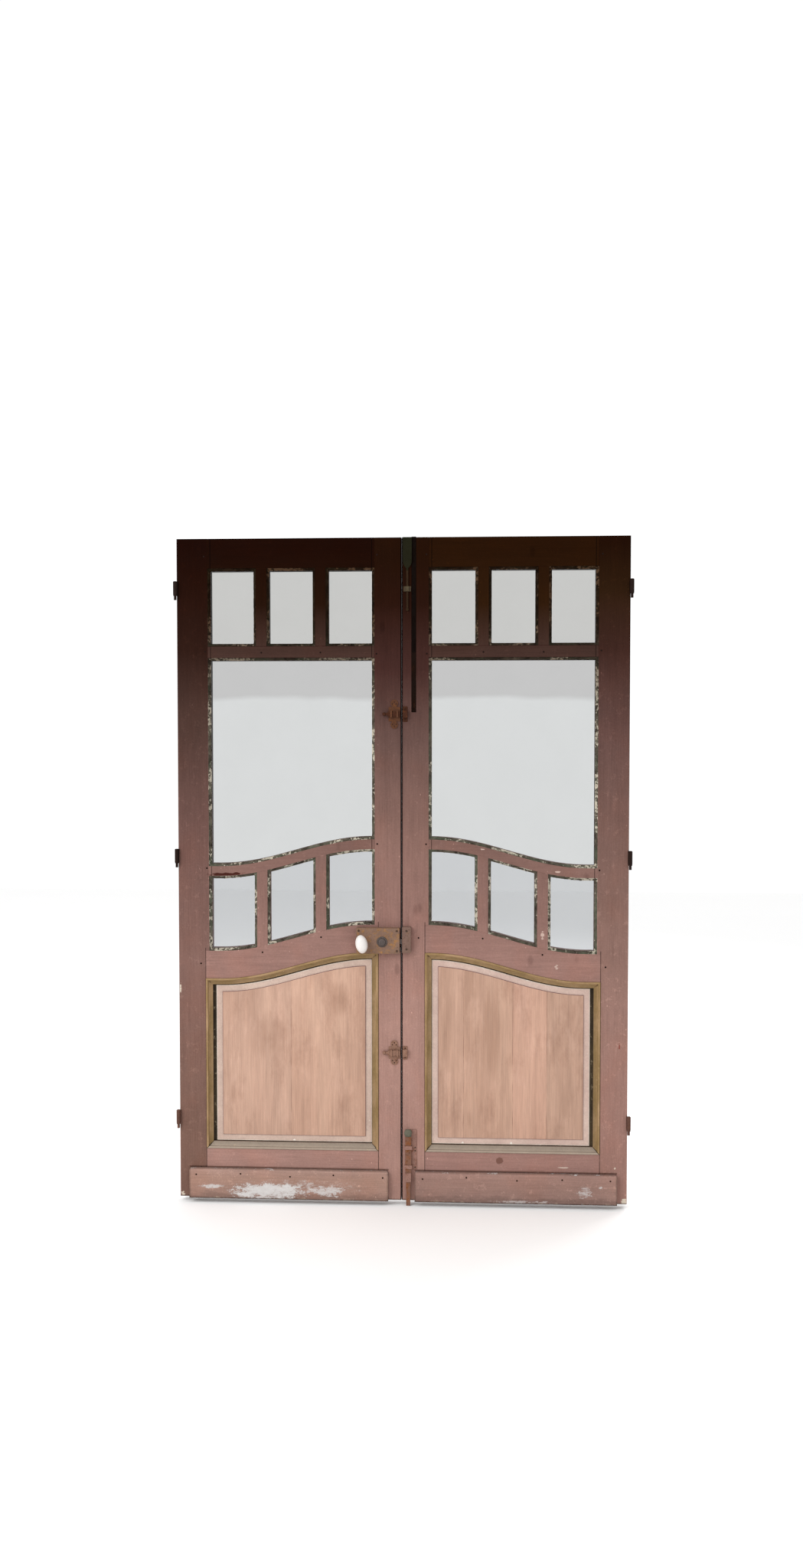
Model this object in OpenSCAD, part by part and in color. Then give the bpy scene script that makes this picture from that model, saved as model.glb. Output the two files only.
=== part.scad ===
// Pair of old glazed timber doors: two mirrored leaves on lift-off hinges, with a rim lock,
// two surface catches and three vertical bolts on the meeting stiles.
// A leaf is drawn with u (X) from its hinge edge, Y from its front face to its back, Z from its foot.

/* [Leaf] */
// Width of one leaf
leaf_w = 760; // [700:1:900]
// Height of one leaf
leaf_h = 2250; // [2200:1:2500]
// Thickness of one leaf
leaf_t = 40; // [38:1:50]
// Gap between the front faces of the two closed leaves
meeting_gap = 6; // [5:0.5:8]
// Slit between the two closed leaves, behind the chamfers of their meeting edges
meeting_slit = 0.6; // [0.4:0.1:2]

/* [Stiles and rails] */
// Width of the hinge stile
hinge_stile_w = 114; // [100:1:130]
// Width of the meeting stile
meeting_stile_w = 98; // [92:1:115]
// Height of the top rail
top_rail_h = 109; // [90:1:140]
// Height of the three small top lights
top_light_h = 244; // [180:1:300]
// Height of the transom rail's section
transom_h = 58; // [50:1:70]
// Height of the underside of the curved rail at the hinge stile
curved_rail_z = 1098; // [1080:1:1150]
// Height of the curved rail's section
curved_rail_h = 52; // [50:1:70]
// Height of the underside of the lock rail at the hinge stile
lock_rail_z = 734; // [728:1:738]
// Height of the lock rail's section
lock_rail_h = 126; // [126:1:150]
// Height of the bottom rail
bottom_rail_h = 190; // [170:1:220]
// Width of a muntin
muntin_w = 55; // [46:1:64]
// Rise of the curved edges from the hinge stile to the meeting stile
curve_rise = 94; // [88:1:100]
// Level run of the curved edges beside the hinge stile
curve_flat = 28; // [10:1:60]
// Length of the tenons
tenon_l = 58; // [30:1:70]
// Thickness of the tenons
tenon_t = 12; // [8:1:14]
// Shoulder above and below a tenon
tenon_shoulder = 12; // [6:1:16]

/* [Glazing] */
// Width of the glazing rebate
rebate_w = 9.5; // [7:0.5:12]
// Depth of the rebates from the front face
rebate_d = 14; // [12:0.5:16]
// Thickness of the glass
glass_t = 3; // [2:0.5:4]
// Play between a pane and its rebate
glass_play = 1.5; // [0.5:0.5:3]
// Depth of the putty's front edge below the wood
putty_set = 0.8; // [0:0.2:2]

/* [Panel] */
// Width of the panel moulding
mould_w = 22; // [18:1:26]
// Opening of the moulding's shrunken mitres
mitre_gap = 0.4; // [0.2:0.1:1]
// Height of the moulding's bead above the wood
mould_proud = 4; // [2:0.5:6]
// Depth of the panel groove
groove_d = 14; // [12:1:18]
// Thickness of the panel's tongue
tongue_t = 8; // [6:1:10]
// Reach of the tongue into its groove
tongue_reach = 8; // [7:0.5:9]
// Shift of the shrunken panel towards the meeting stile
panel_shift = 5.5; // [0:0.5:6]
// Gap between the panel's margin and the moulding, before the shift
margin_gap = 6; // [5.5:0.5:9]
// Gap above and below the panel's margin
margin_gap_z = 3; // [1:0.5:6]
// Width of the panel's margin
margin_w = 22; // [16:1:30]
// Height of the panel's field above its margin
field_step = 4; // [2:0.5:6]

/* [Kick board] */
// Height of the kick board
kick_h = 103; // [80:1:106]
// Thickness of the kick board
kick_t = 17; // [12:1:22]
// Distance from the hinge edge to the kick board
kick_hinge_inset = 34; // [20:1:50]
// Distance from the meeting edge to the kick board
kick_meeting_inset = 42; // [40:1:60]
// Radius of the kick board's upper edge
kick_round = 9; // [4:1:11]

/* [Hinges] */
// Height of a hinge knuckle
knuckle_h = 46; // [36:1:60]
// Radius of a hinge knuckle
knuckle_r = 7; // [6.5:0.5:8]
// Radius of a hinge pin
pin_r = 4.5; // [3.5:0.25:5]
// Running clearance round a hinge pin
pin_clear = 0.06; // [0.03:0.01:0.1]
// Distance of the pin's axis outside the hinge edge
pin_out = 4; // [3:0.5:5]
// Distance of the pin's axis in front of the front face
pin_front = 7; // [6:0.5:9]
// Length of the pin's free lower end
pin_free = 14; // [10:1:30]
// Height of the bearing collar under a knuckle
collar_h = 3; // [2:0.5:4]
// Depth of the hinge plate let into the stile's edge
flag_d = 30; // [20:1:34]
// Thickness of the hinge plate
flag_t = 3; // [2:0.5:4]
// Height of the lowest knuckle's foot
hinge_low_z = 256; // [200:1:320]
// Height of the middle knuckle's foot
hinge_mid_z = 1154; // [1050:1:1250]
// Distance from the leaf's top to the highest knuckle's foot
hinge_top_drop = 189; // [150:1:260]

/* [Lock] */
// Width of the lock case
case_w = 147; // [125:1:165]
// Height of the lock case
case_h = 86; // [85:1:88]
// Depth of the lock case
case_d = 24; // [24:0.5:28]
// Thickness of the lock's sheet
case_t = 2.5; // [2:0.25:3]
// Distance from the meeting edge to the lock's face
case_set = 3; // [2:0.5:4]
// Height of the lock case's foot
lock_z = 850; // [850:1:853]
// Distance from the lock case's far end to the knob
knob_end = 21; // [20:1:22]
// Height of the knob above the case's foot
knob_up = 36; // [35:1:38]
// Distance from the meeting edge to the turn button
button_back = 62; // [61:1:63]
// Height of the turn button above the case's foot
button_up = 40; // [39.5:0.5:41]
// Height of the latch bolt above the case's foot
latch_up = 41; // [41:0.5:42]
// Height of the latch bolt's section
latch_h = 17; // [14:0.5:17]
// Gap between the withdrawn latch nose and its keeper
latch_clear = 0.5; // [0.3:0.1:0.8]
// Length of the follower's arm
arm_l = 32; // [28:0.5:33]
// Turn of the knob
knob_turn = 18; // [10:1:20]
// Tilt of the knob at rest, its top towards the hinge stile
knob_tilt = 10; // [0:1:20]
// Width of the oval knob
knob_w = 41; // [34:1:46]
// Height of the oval knob
knob_h = 62; // [50:1:70]
// Depth of the flat seat cut into the back of the oval knob
knob_seat = 6; // [4:0.5:8]
// Side of the square spindle
spindle_s = 8; // [6:0.5:9]
// Length of the turn button's cam
cam_l = 13.4; // [12:0.1:13.8]
// Turn of the button
button_turn = 60; // [40:1:64]
// Width of the lock keeper
keeper_w = 29; // [24:1:40]
// Room between the thrown latch and the keeper's front wall
keeper_room = 0.5; // [0.4:0.1:0.8]

/* [Catches] */
// Distance from the leaf's top to the upper catch's bolt
upper_catch_drop = 592; // [540:1:750]
// Height of the upper catch's plate
upper_plate_h = 98; // [80:1:120]
// Height of the lower catch's bolt
lower_catch_z = 508; // [400:1:600]
// Height of the lower catch's plate
lower_plate_h = 84; // [70:1:110]
// Width of a catch plate
catch_w = 39; // [34:1:46]
// Distance from the meeting edge to a catch plate
catch_set = 2; // [1:0.5:3]
// Height of a catch bolt's section
catch_bolt_h = 17; // [12:1:20]
// Thickness of a catch bolt
catch_bolt_t = 6; // [4:0.5:8]
// Travel of a catch bolt
catch_travel = 14; // [10:1:15]
// Height of the upper catch's keeper
upper_keeper_h = 52; // [44:1:60]
// Height of the lower catch's keeper
lower_keeper_h = 46; // [40:1:56]
// Width of a catch keeper
catch_keeper_w = 16; // [12:1:20]
// Thickness of the plates and straps of the catches and bolts
plate_t = 2.5; // [2:0.25:3]

/* [Vertical bolts] */
// Distance from the meeting edge to the axis of the top bolt
top_bolt_back = 16; // [15.5:0.5:16.5]
// Width of the top bolt's shield
shield_w = 30; // [24:1:30]
// Height of the top bolt's shield
shield_h = 109; // [90:1:130]
// Length of the top bolt
top_bolt_l = 241; // [220:1:280]
// Width of the top bolt's rod
top_rod_w = 7; // [5:0.5:9]
// Thickness of the top bolt
top_bolt_t = 4; // [3:0.5:5]
// Distance from the leaf's top to the top bolt's guide
top_guide_drop = 181; // [160:1:200]
// Height of the top bolt's guide
top_guide_h = 17; // [12:1:24]
// Distance from the meeting edge to the axis of the long bolt
long_bolt_back = 38; // [37:0.5:40]
// Width of the long bolt's groove
long_groove_w = 16; // [12:0.5:18]
// Depth of the long bolt's groove
long_groove_d = 8; // [7:0.5:9]
// Length of the long bolt's groove
long_groove_l = 586; // [500:1:650]
// Reach of the long bolt's tip above the leaf
long_bolt_tip = 2; // [0:0.5:6]
// Distance from the meeting edge to the axis of the bottom bolt
bottom_bolt_back = 20; // [19:0.5:21]
// Width of the bottom bolt's bar
bottom_bar_w = 20; // [16:0.5:22]
// Width of the bottom bolt's tip
bottom_tip_w = 14; // [12:0.5:15]
// Thickness of the bottom bolt
bottom_bolt_t = 8; // [6:0.5:10]
// Reach of the bottom bolt's tip below the leaf at rest
bottom_tip = 15; // [10:1:25]
// Height of the bottom bolt's knob
bottom_knob_z = 238; // [225:1:260]
// Radius of the bottom bolt's knob
bottom_knob_r = 13; // [9:0.5:15]
// Height of the foot of the bottom bolt's plate
bottom_plate_z = 108; // [107:1:115]
// Height of the bottom bolt's plate
bottom_plate_h = 137; // [120:1:150]
// Width of the bottom bolt's plate
bottom_plate_w = 40; // [36:1:46]
// Height of the foot of the bottom bolt's collar
bottom_collar_z = 67; // [40:1:75]
// Height of the bottom bolt's collar
bottom_collar_h = 30; // [20:1:30]

/* [Hidden] */
$fn = 48;

// Finishes
wood_dark = [0.22, 0.13, 0.10];
wood_mid = [0.36, 0.24, 0.20];
wood_faded = [0.62, 0.48, 0.44];
wood_raw = [0.77, 0.62, 0.53];
ochre = [0.58, 0.48, 0.32];
putty_grey = [0.30, 0.31, 0.27];
glass_tint = [0.80, 0.85, 0.87, 0.35];
rust = [0.40, 0.26, 0.18];
steel_grey = [0.36, 0.36, 0.36];
iron_green = [0.40, 0.42, 0.36];
porcelain = [0.93, 0.92, 0.89];

// Small clearances shared by moving and seated pieces, and the overrun of a cut past its face
slide_gap = 0.3;
seat_gap = 0.1;
journal_gap = 0.06;
over = 1;

// Inner edges of the stiles, and the curved run between them
inner_u = hinge_stile_w;
outer_u = leaf_w - meeting_stile_w;
curve_u0 = inner_u + curve_flat;
curve_u1 = outer_u;
curve_n = 24;
curve_step = (curve_u1 - curve_u0) / curve_n;

// Undersides of the top and transom rails, and the width of one small light
top_rail_z = leaf_h - top_rail_h;
transom_z = top_rail_z - top_light_h - transom_h;
light_w = (outer_u - inner_u - 2 * muntin_w) / 3;

// Meeting edge: reach of its lip past the front face, and its back-cut, so that it swings clear
lip = (meeting_gap - meeting_slit) / 2;
lip_relief = (pow(leaf_t + pin_front, 2) - pow(pin_front, 2)) / (2 * leaf_w);

// Depth of the tenons and of the panel groove behind the rebates
joint_wall = 3;
margin_step = 4;
tenon_y = [rebate_d + joint_wall, rebate_d + joint_wall + tenon_t];
groove_y = [rebate_d + joint_wall, rebate_d + joint_wall + tongue_t + 2 * seat_gap];
tongue_y = [groove_y[0] + seat_gap, groove_y[1] - seat_gap];
margin_y = tongue_y[0] - margin_step;
panel_back_y = tongue_y[1] + joint_wall;

// Hinge pins and the frame's origin, on the free end of the left leaf's lowest pin
hinge_zs = [hinge_low_z, hinge_mid_z, leaf_h - hinge_top_drop];
pin_top_room = 8;
pin_end_room = 2;
knuckle_chamfer = [1, 2];
collar_r = knuckle_r - 0.5;
pin_foot = -seat_gap - collar_h - pin_free;
origin = [-pin_out, -pin_front, hinge_low_z + pin_foot + pin_free / 2];

// Lock: x from the meeting edge, z from the foot of the case
case_x = [-case_set - case_w, -case_set];
knob_x = case_x[0] + knob_end;
button_x = -button_back;
latch_z = [latch_up - latch_h / 2, latch_up + latch_h / 2];
latch_y = [-case_d + 6, -6];
latch_show = meeting_gap - latch_clear;
latch_head_l = 50;
latch_bevel = [7, 2];
tail_y = [-9, -5];
tail_w = 9;
tail_room = 8;
prong = 4;
prong_w = 7;
tip_r = 3;
arm_half = 1.75;
tail_z = [knob_up + arm_l - tip_r - prong, case_h - tail_room];
arm_rest = -knob_turn / 2;
fork_x = knob_x + arm_l * sin(arm_rest);
hub_r = 10;
hub_front = 5;
journal_r = 8;
spindle_play = 1;
cam_rest = button_turn / 2;
cam_hub_r = 6.5;
cam_y = [-case_d + case_t + 1.5, -case_d + case_t + 8.5];
dead_z = [8, 21];
dead_show = 1;
dead_tail = 12;
dead_fork_wall = 5;
dead_fork_x = button_x - cam_l * sin(cam_rest);
dead_fork_z = button_up - cam_l * cos(cam_rest);
shaft_r = 6;
shaft_in = 12;
button_r = 12.5;
button_h = 9;
button_rim_r = 18;
button_rim_h = 3.5;
ferrule_l = 14;
ferrule_lip = 3;
knob_y = -case_d - ferrule_l - knob_w / 2 + knob_seat;
rose_t = 4;
rose_r = 24;
rear_knob_y = leaf_t + rose_t + ferrule_l + knob_w / 2 - knob_seat;
keeper_z = [2, case_h + 4];
keeper_d = keeper_room + case_t - latch_y[0];

// Surface catches: bars lie a slide gap off their plates, and their knobs stop before the straps
upper_catch_z = leaf_h - upper_catch_drop;
bar_y = [-plate_t - slide_gap - catch_bolt_t, -plate_t - slide_gap];
strap_w = 6;
strap_inset = 6;
strap_root = 0.5;
catch_x = [-catch_set - catch_w, -catch_set];
catch_bar_x = catch_x[0] - 3;
catch_knob_r = 6;
catch_knob_h = 3.7;
catch_knob_x = catch_x[0] + strap_inset - catch_travel - catch_knob_r - 1;
catch_keeper_x = [-1 - catch_keeper_w, -1];
loop_room = 1.2;
keeper_base_t = plate_t - 0.5;
plate_round = 3;

// Vertical bolts
long_groove_z = leaf_h - long_groove_l;
notch_foot = 14;
notch_l = 20;
notch_wall = 4;
top_bolt_y = [-slide_gap - top_bolt_t, -slide_gap];
top_guide_w = 25;
top_stop_h = 2;
shield_lap = 12;
bottom_bar_y = [-plate_t - slide_gap - bottom_bolt_t, -plate_t - slide_gap];
bottom_bar_over = 6;
bottom_neck_r = 7;
bottom_knob_l = 19.5;
bottom_strap_h = 12;
bottom_strap_foot = 4;
bottom_strap_pitch = 66;
bottom_plate_shift = 9;
bottom_plate_round = 4;

// Rise of the curve at the grid point k, and along the straight run between two grid points
function grid_rise(k) = curve_rise * (1 - cos(180 * k / curve_n)) / 2;
function rise(u) =
  let (g = min(curve_n, max(0, (u - curve_u0) / curve_step)), k = min(curve_n - 1, floor(g)))
  grid_rise(k) + (grid_rise(k + 1) - grid_rise(k)) * (g - k);

// Grid points strictly between two places, with both ends
function curve_us(u0, u1) = concat(
  [u0],
  [for (k = [0:curve_n]) let (u = curve_u0 + k * curve_step) if (u > u0 + 0.01 && u < u1 - 0.01) u],
  [u1]
);
function reversed(v) = [for (i = [len(v) - 1:-1:0]) v[i]];

// Outline between two edges, each level or curved
function edge_pts(us, z, curved) = [for (u = us) [u, z + (curved ? rise(u) : 0)]];
function outline(u, z, low_curved, high_curved) = concat(
  edge_pts(low_curved ? curve_us(u[0], u[1]) : u, z[0], low_curved),
  reversed(edge_pts(high_curved ? curve_us(u[0], u[1]) : u, z[1], high_curved))
);

// Openings: the three rows of lights as [u range, z range, low edge curved, high edge curved]
function light_u(i) = [inner_u + i * (light_w + muntin_w), inner_u + i * (light_w + muntin_w) + light_w];
top_lights = [for (i = [0:2]) [light_u(i), [transom_z + transom_h, top_rail_z], false, false]];
large_light = [[[inner_u, outer_u], [curved_rail_z + curved_rail_h, transom_z], true, false]];
lower_lights = [for (i = [0:2]) [light_u(i), [lock_rail_z + lock_rail_h, curved_rail_z], true, true]];

// A light's outline grown by d on every side
function grown(light, d) = outline(
  [light[0][0] - d, light[0][1] + d], [light[1][0] - d, light[1][1] + d], light[2], light[3]
);
// A light's outline grown by d, with a point for each one of its rebate's outline, so that rings pair up
function ring_u(light, d, u) =
  let (wide = light[0][1] - light[0][0])
  light[0][0] - d + (u - light[0][0] + rebate_w) * (wide + 2 * d) / (wide + 2 * rebate_w);
function ring_pts(light, d) =
  let (ends = [light[0][0] - rebate_w, light[0][1] + rebate_w], us = curve_us(ends[0], ends[1]))
  concat(
    [for (v = light[2] ? us : ends) let (u = ring_u(light, d, v))
      [u, light[1][0] - d + (light[2] ? rise(u) : 0)]],
    [for (v = reversed(light[3] ? us : ends)) let (u = ring_u(light, d, v))
      [u, light[1][1] + d + (light[3] ? rise(u) : 0)]]
  );

// Placing of the two leaves
module on_left() translate(-origin) children();
module on_right()
  translate(-origin) translate([2 * leaf_w + meeting_gap, 0, 0]) mirror([1, 0, 0]) children();
module at_edge(z) translate([leaf_w, 0, z]) children();

// Box from ranges, and a front outline given depth
module block(u, y, z) translate([u[0], y[0], z[0]]) cube([u[1] - u[0], y[1] - y[0], z[1] - z[0]]);
module slab(y) translate([0, y[1], 0]) rotate([90, 0, 0]) linear_extrude(y[1] - y[0]) children();
module turned(y) translate([0, y, 0]) rotate([90, 0, 0]) children();
module round_bar(r, y) turned(y[1]) cylinder(r = r, h = y[1] - y[0]);
module rounded(w, h, r) {
  translate([r, 0]) square([w - 2 * r, h]);
  translate([0, r]) square([w, h - 2 * r]);
  for (x = [r, w - r], z = [r, h - r]) translate([x, z]) circle(r);
}

// Room at the end of a mortise
tenon_end = 1;
// Heights of the rails' tenons at a stile, with the curve's rise there
function tenon_zs(up) = [
  [tenon_shoulder, bottom_rail_h - groove_d - tenon_shoulder],
  [lock_rail_z + groove_d + tenon_shoulder + up, lock_rail_z + lock_rail_h - tenon_shoulder + up],
  [curved_rail_z + tenon_shoulder + up, curved_rail_z + curved_rail_h - tenon_shoulder + up],
  [transom_z + tenon_shoulder, transom_z + transom_h - tenon_shoulder],
  [top_rail_z + tenon_shoulder, leaf_h - 2 * tenon_shoulder]
];

// A stile along u = 0 to w, with its inner edge at w: rebates, mortises and panel groove
module stile(w, up) {
  lock_top = lock_rail_z + lock_rail_h - rebate_w + up;
  difference() {
    block([0, w], [0, leaf_t], [0, leaf_h]);
    block([w - mould_w, w + over], [-over, rebate_d], [-over, lock_top]);
    block([w - rebate_w, w + over], [-over, rebate_d], [lock_top - over, leaf_h + over]);
    block([w - groove_d, w + over], groove_y, [bottom_rail_h - groove_d, lock_rail_z + groove_d + up]);
    for (z = tenon_zs(up)) block([w - tenon_l - tenon_end, w + over], tenon_y, z);
  }
}

module hinge_stile() color(wood_mid) difference() {
  stile(hinge_stile_w, 0);
  for (z = hinge_zs) block([-over, flag_t], [-over, flag_d], [z, z + knuckle_h]);
}

// Lip of a meeting edge, in plan a chamfer from the front face and a back-cut
module meeting_lip() linear_extrude(leaf_h) polygon([
  [leaf_w - over, 0], [leaf_w, 0], [leaf_w + lip, lip], [leaf_w + lip - lip_relief, leaf_t],
  [leaf_w - over, leaf_t]
]);

module meeting_stile(grooved) color(wood_mid) difference() {
  union() {
    translate([leaf_w, 0, 0]) mirror([1, 0, 0]) stile(meeting_stile_w, curve_rise);
    meeting_lip();
  }
  if (grooved) at_edge(0) block(
    [-long_bolt_back - long_groove_w / 2, -long_bolt_back + long_groove_w / 2],
    [-over, long_groove_d], [long_groove_z, leaf_h + over]
  );
  else spindle_bore();
}

// Hole for the knobs' spindle, through whatever wood is behind the lock
module spindle_bore() at_edge(lock_z + knob_up) translate([knob_x, 0, 0])
  round_bar(journal_r + spindle_play, [-over, leaf_t + over]);

// Tenons of a rail at both ends
module tenons(row) {
  block([inner_u - tenon_l, inner_u + over], tenon_y, tenon_zs(0)[row]);
  block([outer_u - over, outer_u + tenon_l], tenon_y, tenon_zs(curve_rise)[row]);
}

// Stub mortises and tenons of the muntins
stub_l = 12;
stub_w = 20;
module stubs(light_row, gap) for (i = [0:1]) {
  u = light_row[i][0][1] + muntin_w / 2;
  low = light_row[i][1][0] + (light_row[i][2] ? rise(u) : 0);
  high = light_row[i][1][1] + (light_row[i][3] ? rise(u) : 0);
  block([u - stub_w / 2, u + stub_w / 2], tenon_y, [low - stub_l - gap, high + stub_l + gap]);
}

// A rail between the stiles, with its front layer cut back at the rebates below and above it
module rail(z, curved, side_lip, low_lip, high_lip, row) {
  slab([rebate_d, leaf_t]) polygon(outline([inner_u, outer_u], z, curved, curved));
  slab([0, rebate_d + over]) polygon(
    outline([inner_u, outer_u], [z[0] + low_lip, z[1] - high_lip], curved, curved)
  );
  slab([0, rebate_d]) polygon(
    outline([inner_u - side_lip, outer_u + side_lip], [z[0] + low_lip, z[1] - high_lip], curved, curved)
  );
  tenons(row);
}

module top_rail() color(wood_dark) difference() {
  rail([top_rail_z, leaf_h], false, rebate_w, rebate_w, 0, 4);
  stubs(top_lights, tenon_end);
}

module transom_rail() color(wood_dark) difference() {
  rail([transom_z, transom_z + transom_h], false, rebate_w, rebate_w, rebate_w, 3);
  stubs(top_lights, tenon_end);
}

module curved_rail() color(wood_mid) difference() {
  rail([curved_rail_z, curved_rail_z + curved_rail_h], true, rebate_w, rebate_w, rebate_w, 2);
  stubs(lower_lights, tenon_end);
}

module lock_rail(bored) color(wood_mid) difference() {
  rail([lock_rail_z, lock_rail_z + lock_rail_h], true, mould_w, mould_w, rebate_w, 1);
  stubs(lower_lights, tenon_end);
  slab(groove_y) polygon(
    outline([inner_u - over, outer_u + over], [lock_rail_z - over, lock_rail_z + groove_d], true, true)
  );
  if (bored) spindle_bore();
}

module bottom_rail() color(wood_faded) difference() {
  rail([0, bottom_rail_h], false, mould_w, 0, mould_w, 0);
  block([inner_u - over, outer_u + over], groove_y, [bottom_rail_h - groove_d, bottom_rail_h + over]);
}

// Muntins: a T section with a bevelled back, cut to the edges of the rails above and below
muntin_bevel = 9;
module muntins(light_row) for (i = [0:1]) {
  u = light_row[i][0][1];
  light = [[u, u + muntin_w], light_row[i][1], light_row[i][2], light_row[i][3]];
  cut_h = light[1][1] - light[1][0] + curve_rise + 2 * over;
  intersection() {
    slab([rebate_d - over, leaf_t]) polygon(outline(light[0], light[1], light[2], light[3]));
    translate([0, 0, light[1][0] - over]) linear_extrude(cut_h) polygon([
      [u, rebate_d], [u + muntin_w, rebate_d], [u + muntin_w, leaf_t - muntin_bevel],
      [u + muntin_w - muntin_bevel, leaf_t], [u + muntin_bevel, leaf_t], [u, leaf_t - muntin_bevel]
    ]);
  }
  slab([0, rebate_d]) polygon(outline(
    [u + rebate_w, u + muntin_w - rebate_w],
    [light[1][0] - rebate_w, light[1][1] + rebate_w], light[2], light[3]
  ));
  slab([rebate_d - over, rebate_d + over]) polygon(outline(
    [u + rebate_w, u + muntin_w - rebate_w], light[1], light[2], light[3]
  ));
}

module top_muntins() color(wood_dark) {
  muntins(top_lights);
  stubs(top_lights, 0);
}

module lower_muntins() color(wood_mid) {
  muntins(lower_lights);
  stubs(lower_lights, 0);
}

// Panes seated on the back of their rebates
module panes(light_row) color(glass_tint) for (light = light_row)
  slab([rebate_d - glass_t, rebate_d]) polygon(grown(light, rebate_w - glass_play));

// A ring of three loops of points, for the putty's wedge section
module wedge_ring(loops) {
  n = len(loops[0]);
  polyhedron(
    points = concat(loops[0], loops[1], loops[2]),
    faces = [for (ring = [0:2], i = [0:n - 1], half = [0:1])
      let (
        a = ring * n + i, b = ring * n + (i + 1) % n,
        c = ((ring + 1) % 3) * n + (i + 1) % n, d = ((ring + 1) % 3) * n + i
      )
      half == 0 ? [a, b, c] : [a, c, d]]
  );
}

module putty() color(putty_grey) for (light = concat(top_lights, large_light, lower_lights)) {
  wood_edge = ring_pts(light, rebate_w);
  sight = ring_pts(light, 0);
  glass_y = rebate_d - glass_t;
  wedge_ring([
    [for (p = wood_edge) [p[0], putty_set, p[1]]],
    [for (p = wood_edge) [p[0], glass_y, p[1]]],
    [for (p = sight) [p[0], glass_y, p[1]]]
  ]);
}

// Fielded panel: tongue, margin and raised field, moved towards the meeting stile
module panel_layer(y, d_u, d_z) slab(y) polygon(outline(
  [inner_u + d_u, outer_u - d_u], [bottom_rail_h + d_z, lock_rail_z - d_z], false, true
));

module panel() color(wood_raw) translate([panel_shift, 0, 0]) {
  panel_layer(tongue_y, -tongue_reach, -tongue_reach);
  panel_layer([margin_y, panel_back_y], margin_gap, margin_gap_z);
  panel_layer([margin_y - field_step, panel_back_y], margin_gap + margin_w, margin_gap_z + margin_w);
}

// Moulding section across its width, with a bead outside and a hollow towards the panel
bead_r = mould_proud;
fillet_w = 3;
hollow_w = mould_w - 2 * bead_r - fillet_w;
hollow_d = 9;
mould_section = concat(
  [[0, rebate_d]],
  [for (a = [180:-30:0]) [bead_r + bead_r * cos(a), -bead_r * sin(a)]],
  [for (a = [18:18:90]) [2 * bead_r + hollow_w * (1 - cos(a)), hollow_d * sin(a)]],
  [[mould_w, hollow_d], [mould_w, rebate_d]]
);

// Strip of moulding swept along stations of [outer point, inner point], mitred by its end stations
module moulding_strip(stations) {
  m = len(mould_section);
  last = len(stations) - 1;
  polyhedron(
    points = [for (s = stations, p = mould_section)
      let (q = s[0] + (s[1] - s[0]) * p[0] / mould_w) [q[0], p[1], q[1]]],
    faces = concat(
      [[for (i = [m - 1:-1:0]) i], [for (i = [0:m - 1]) last * m + i]],
      [for (k = [0:last - 1], i = [0:m - 1], half = [0:1])
        let (a = k * m + i, b = k * m + (i + 1) % m, c = a + m, d = b + m)
        half == 0 ? [a, b, d] : [a, d, c]]
    )
  );
}

// Corners of the moulding frame, from its outer edge to its inner edge
mould_u = [inner_u - mould_w, outer_u + mould_w];
function mould_inner_u(u) =
  inner_u + (u - mould_u[0]) * (outer_u - inner_u) / (mould_u[1] - mould_u[0]);
function mould_low(u) = [[u, bottom_rail_h - mould_w], [mould_inner_u(u), bottom_rail_h]];
function mould_high(u) =
  let (inner = mould_inner_u(u))
  [[u, lock_rail_z + mould_w + rise(u)], [inner, lock_rail_z + rise(inner)]];

// A station moved up or down, which opens the mitre there
function lifted(station, dz) = [station[0] + [0, dz], station[1] + [0, dz]];

module panel_mouldings() color(ochre) {
  moulding_strip([lifted(mould_high(mould_u[0]), -mitre_gap), lifted(mould_low(mould_u[0]), mitre_gap)]);
  moulding_strip([lifted(mould_low(mould_u[1]), mitre_gap), lifted(mould_high(mould_u[1]), -mitre_gap)]);
  moulding_strip([mould_low(mould_u[0]), mould_low(mould_u[1])]);
  moulding_strip([for (u = reversed(curve_us(mould_u[0], mould_u[1]))) mould_high(u)]);
}

// Kick board with a rounded upper edge and rounded upper corners
kick_w = leaf_w - kick_hinge_inset - kick_meeting_inset;
module kick_board() color(wood_faded) translate([kick_hinge_inset, 0, 0]) intersection() {
  rotate([90, 0, 90]) linear_extrude(kick_w) union() {
    translate([-kick_t, 0]) square([kick_t, kick_h - kick_round]);
    translate([-kick_t + kick_round, 0]) square([kick_t - kick_round, kick_h]);
    translate([-kick_t + kick_round, kick_h - kick_round]) circle(kick_round);
  }
  slab([-kick_t - over, 0]) union() {
    square([kick_w, kick_h - kick_round]);
    translate([kick_round, 0]) square([kick_w - 2 * kick_round, kick_h]);
    for (u = [kick_round, kick_w - kick_round]) translate([u, kick_h - kick_round]) circle(kick_round);
  }
}

// Leaf-side hinge halves: a knuckle rolled on a plate that is let into the stile's edge
module hinges() color(iron_green) for (z = hinge_zs) translate([0, 0, z]) difference() {
  union() {
    translate([-pin_out, -pin_front, 0]) rotate_extrude() polygon([
      [0, 0], [knuckle_r - knuckle_chamfer[0], 0], [knuckle_r, knuckle_chamfer[0]],
      [knuckle_r, knuckle_h - knuckle_chamfer[1]], [knuckle_r - knuckle_chamfer[1], knuckle_h],
      [0, knuckle_h]
    ]);
    block([0, flag_t], [-pin_front, flag_d], [0, knuckle_h]);
    block(
      [-pin_out, flag_t], [-pin_front, -pin_front + flag_t],
      [knuckle_chamfer[0], knuckle_h - knuckle_chamfer[1]]
    );
  }
  translate([-pin_out, -pin_front, -over])
    cylinder(r = pin_r + pin_clear, h = knuckle_h - pin_top_room + over);
}

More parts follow.
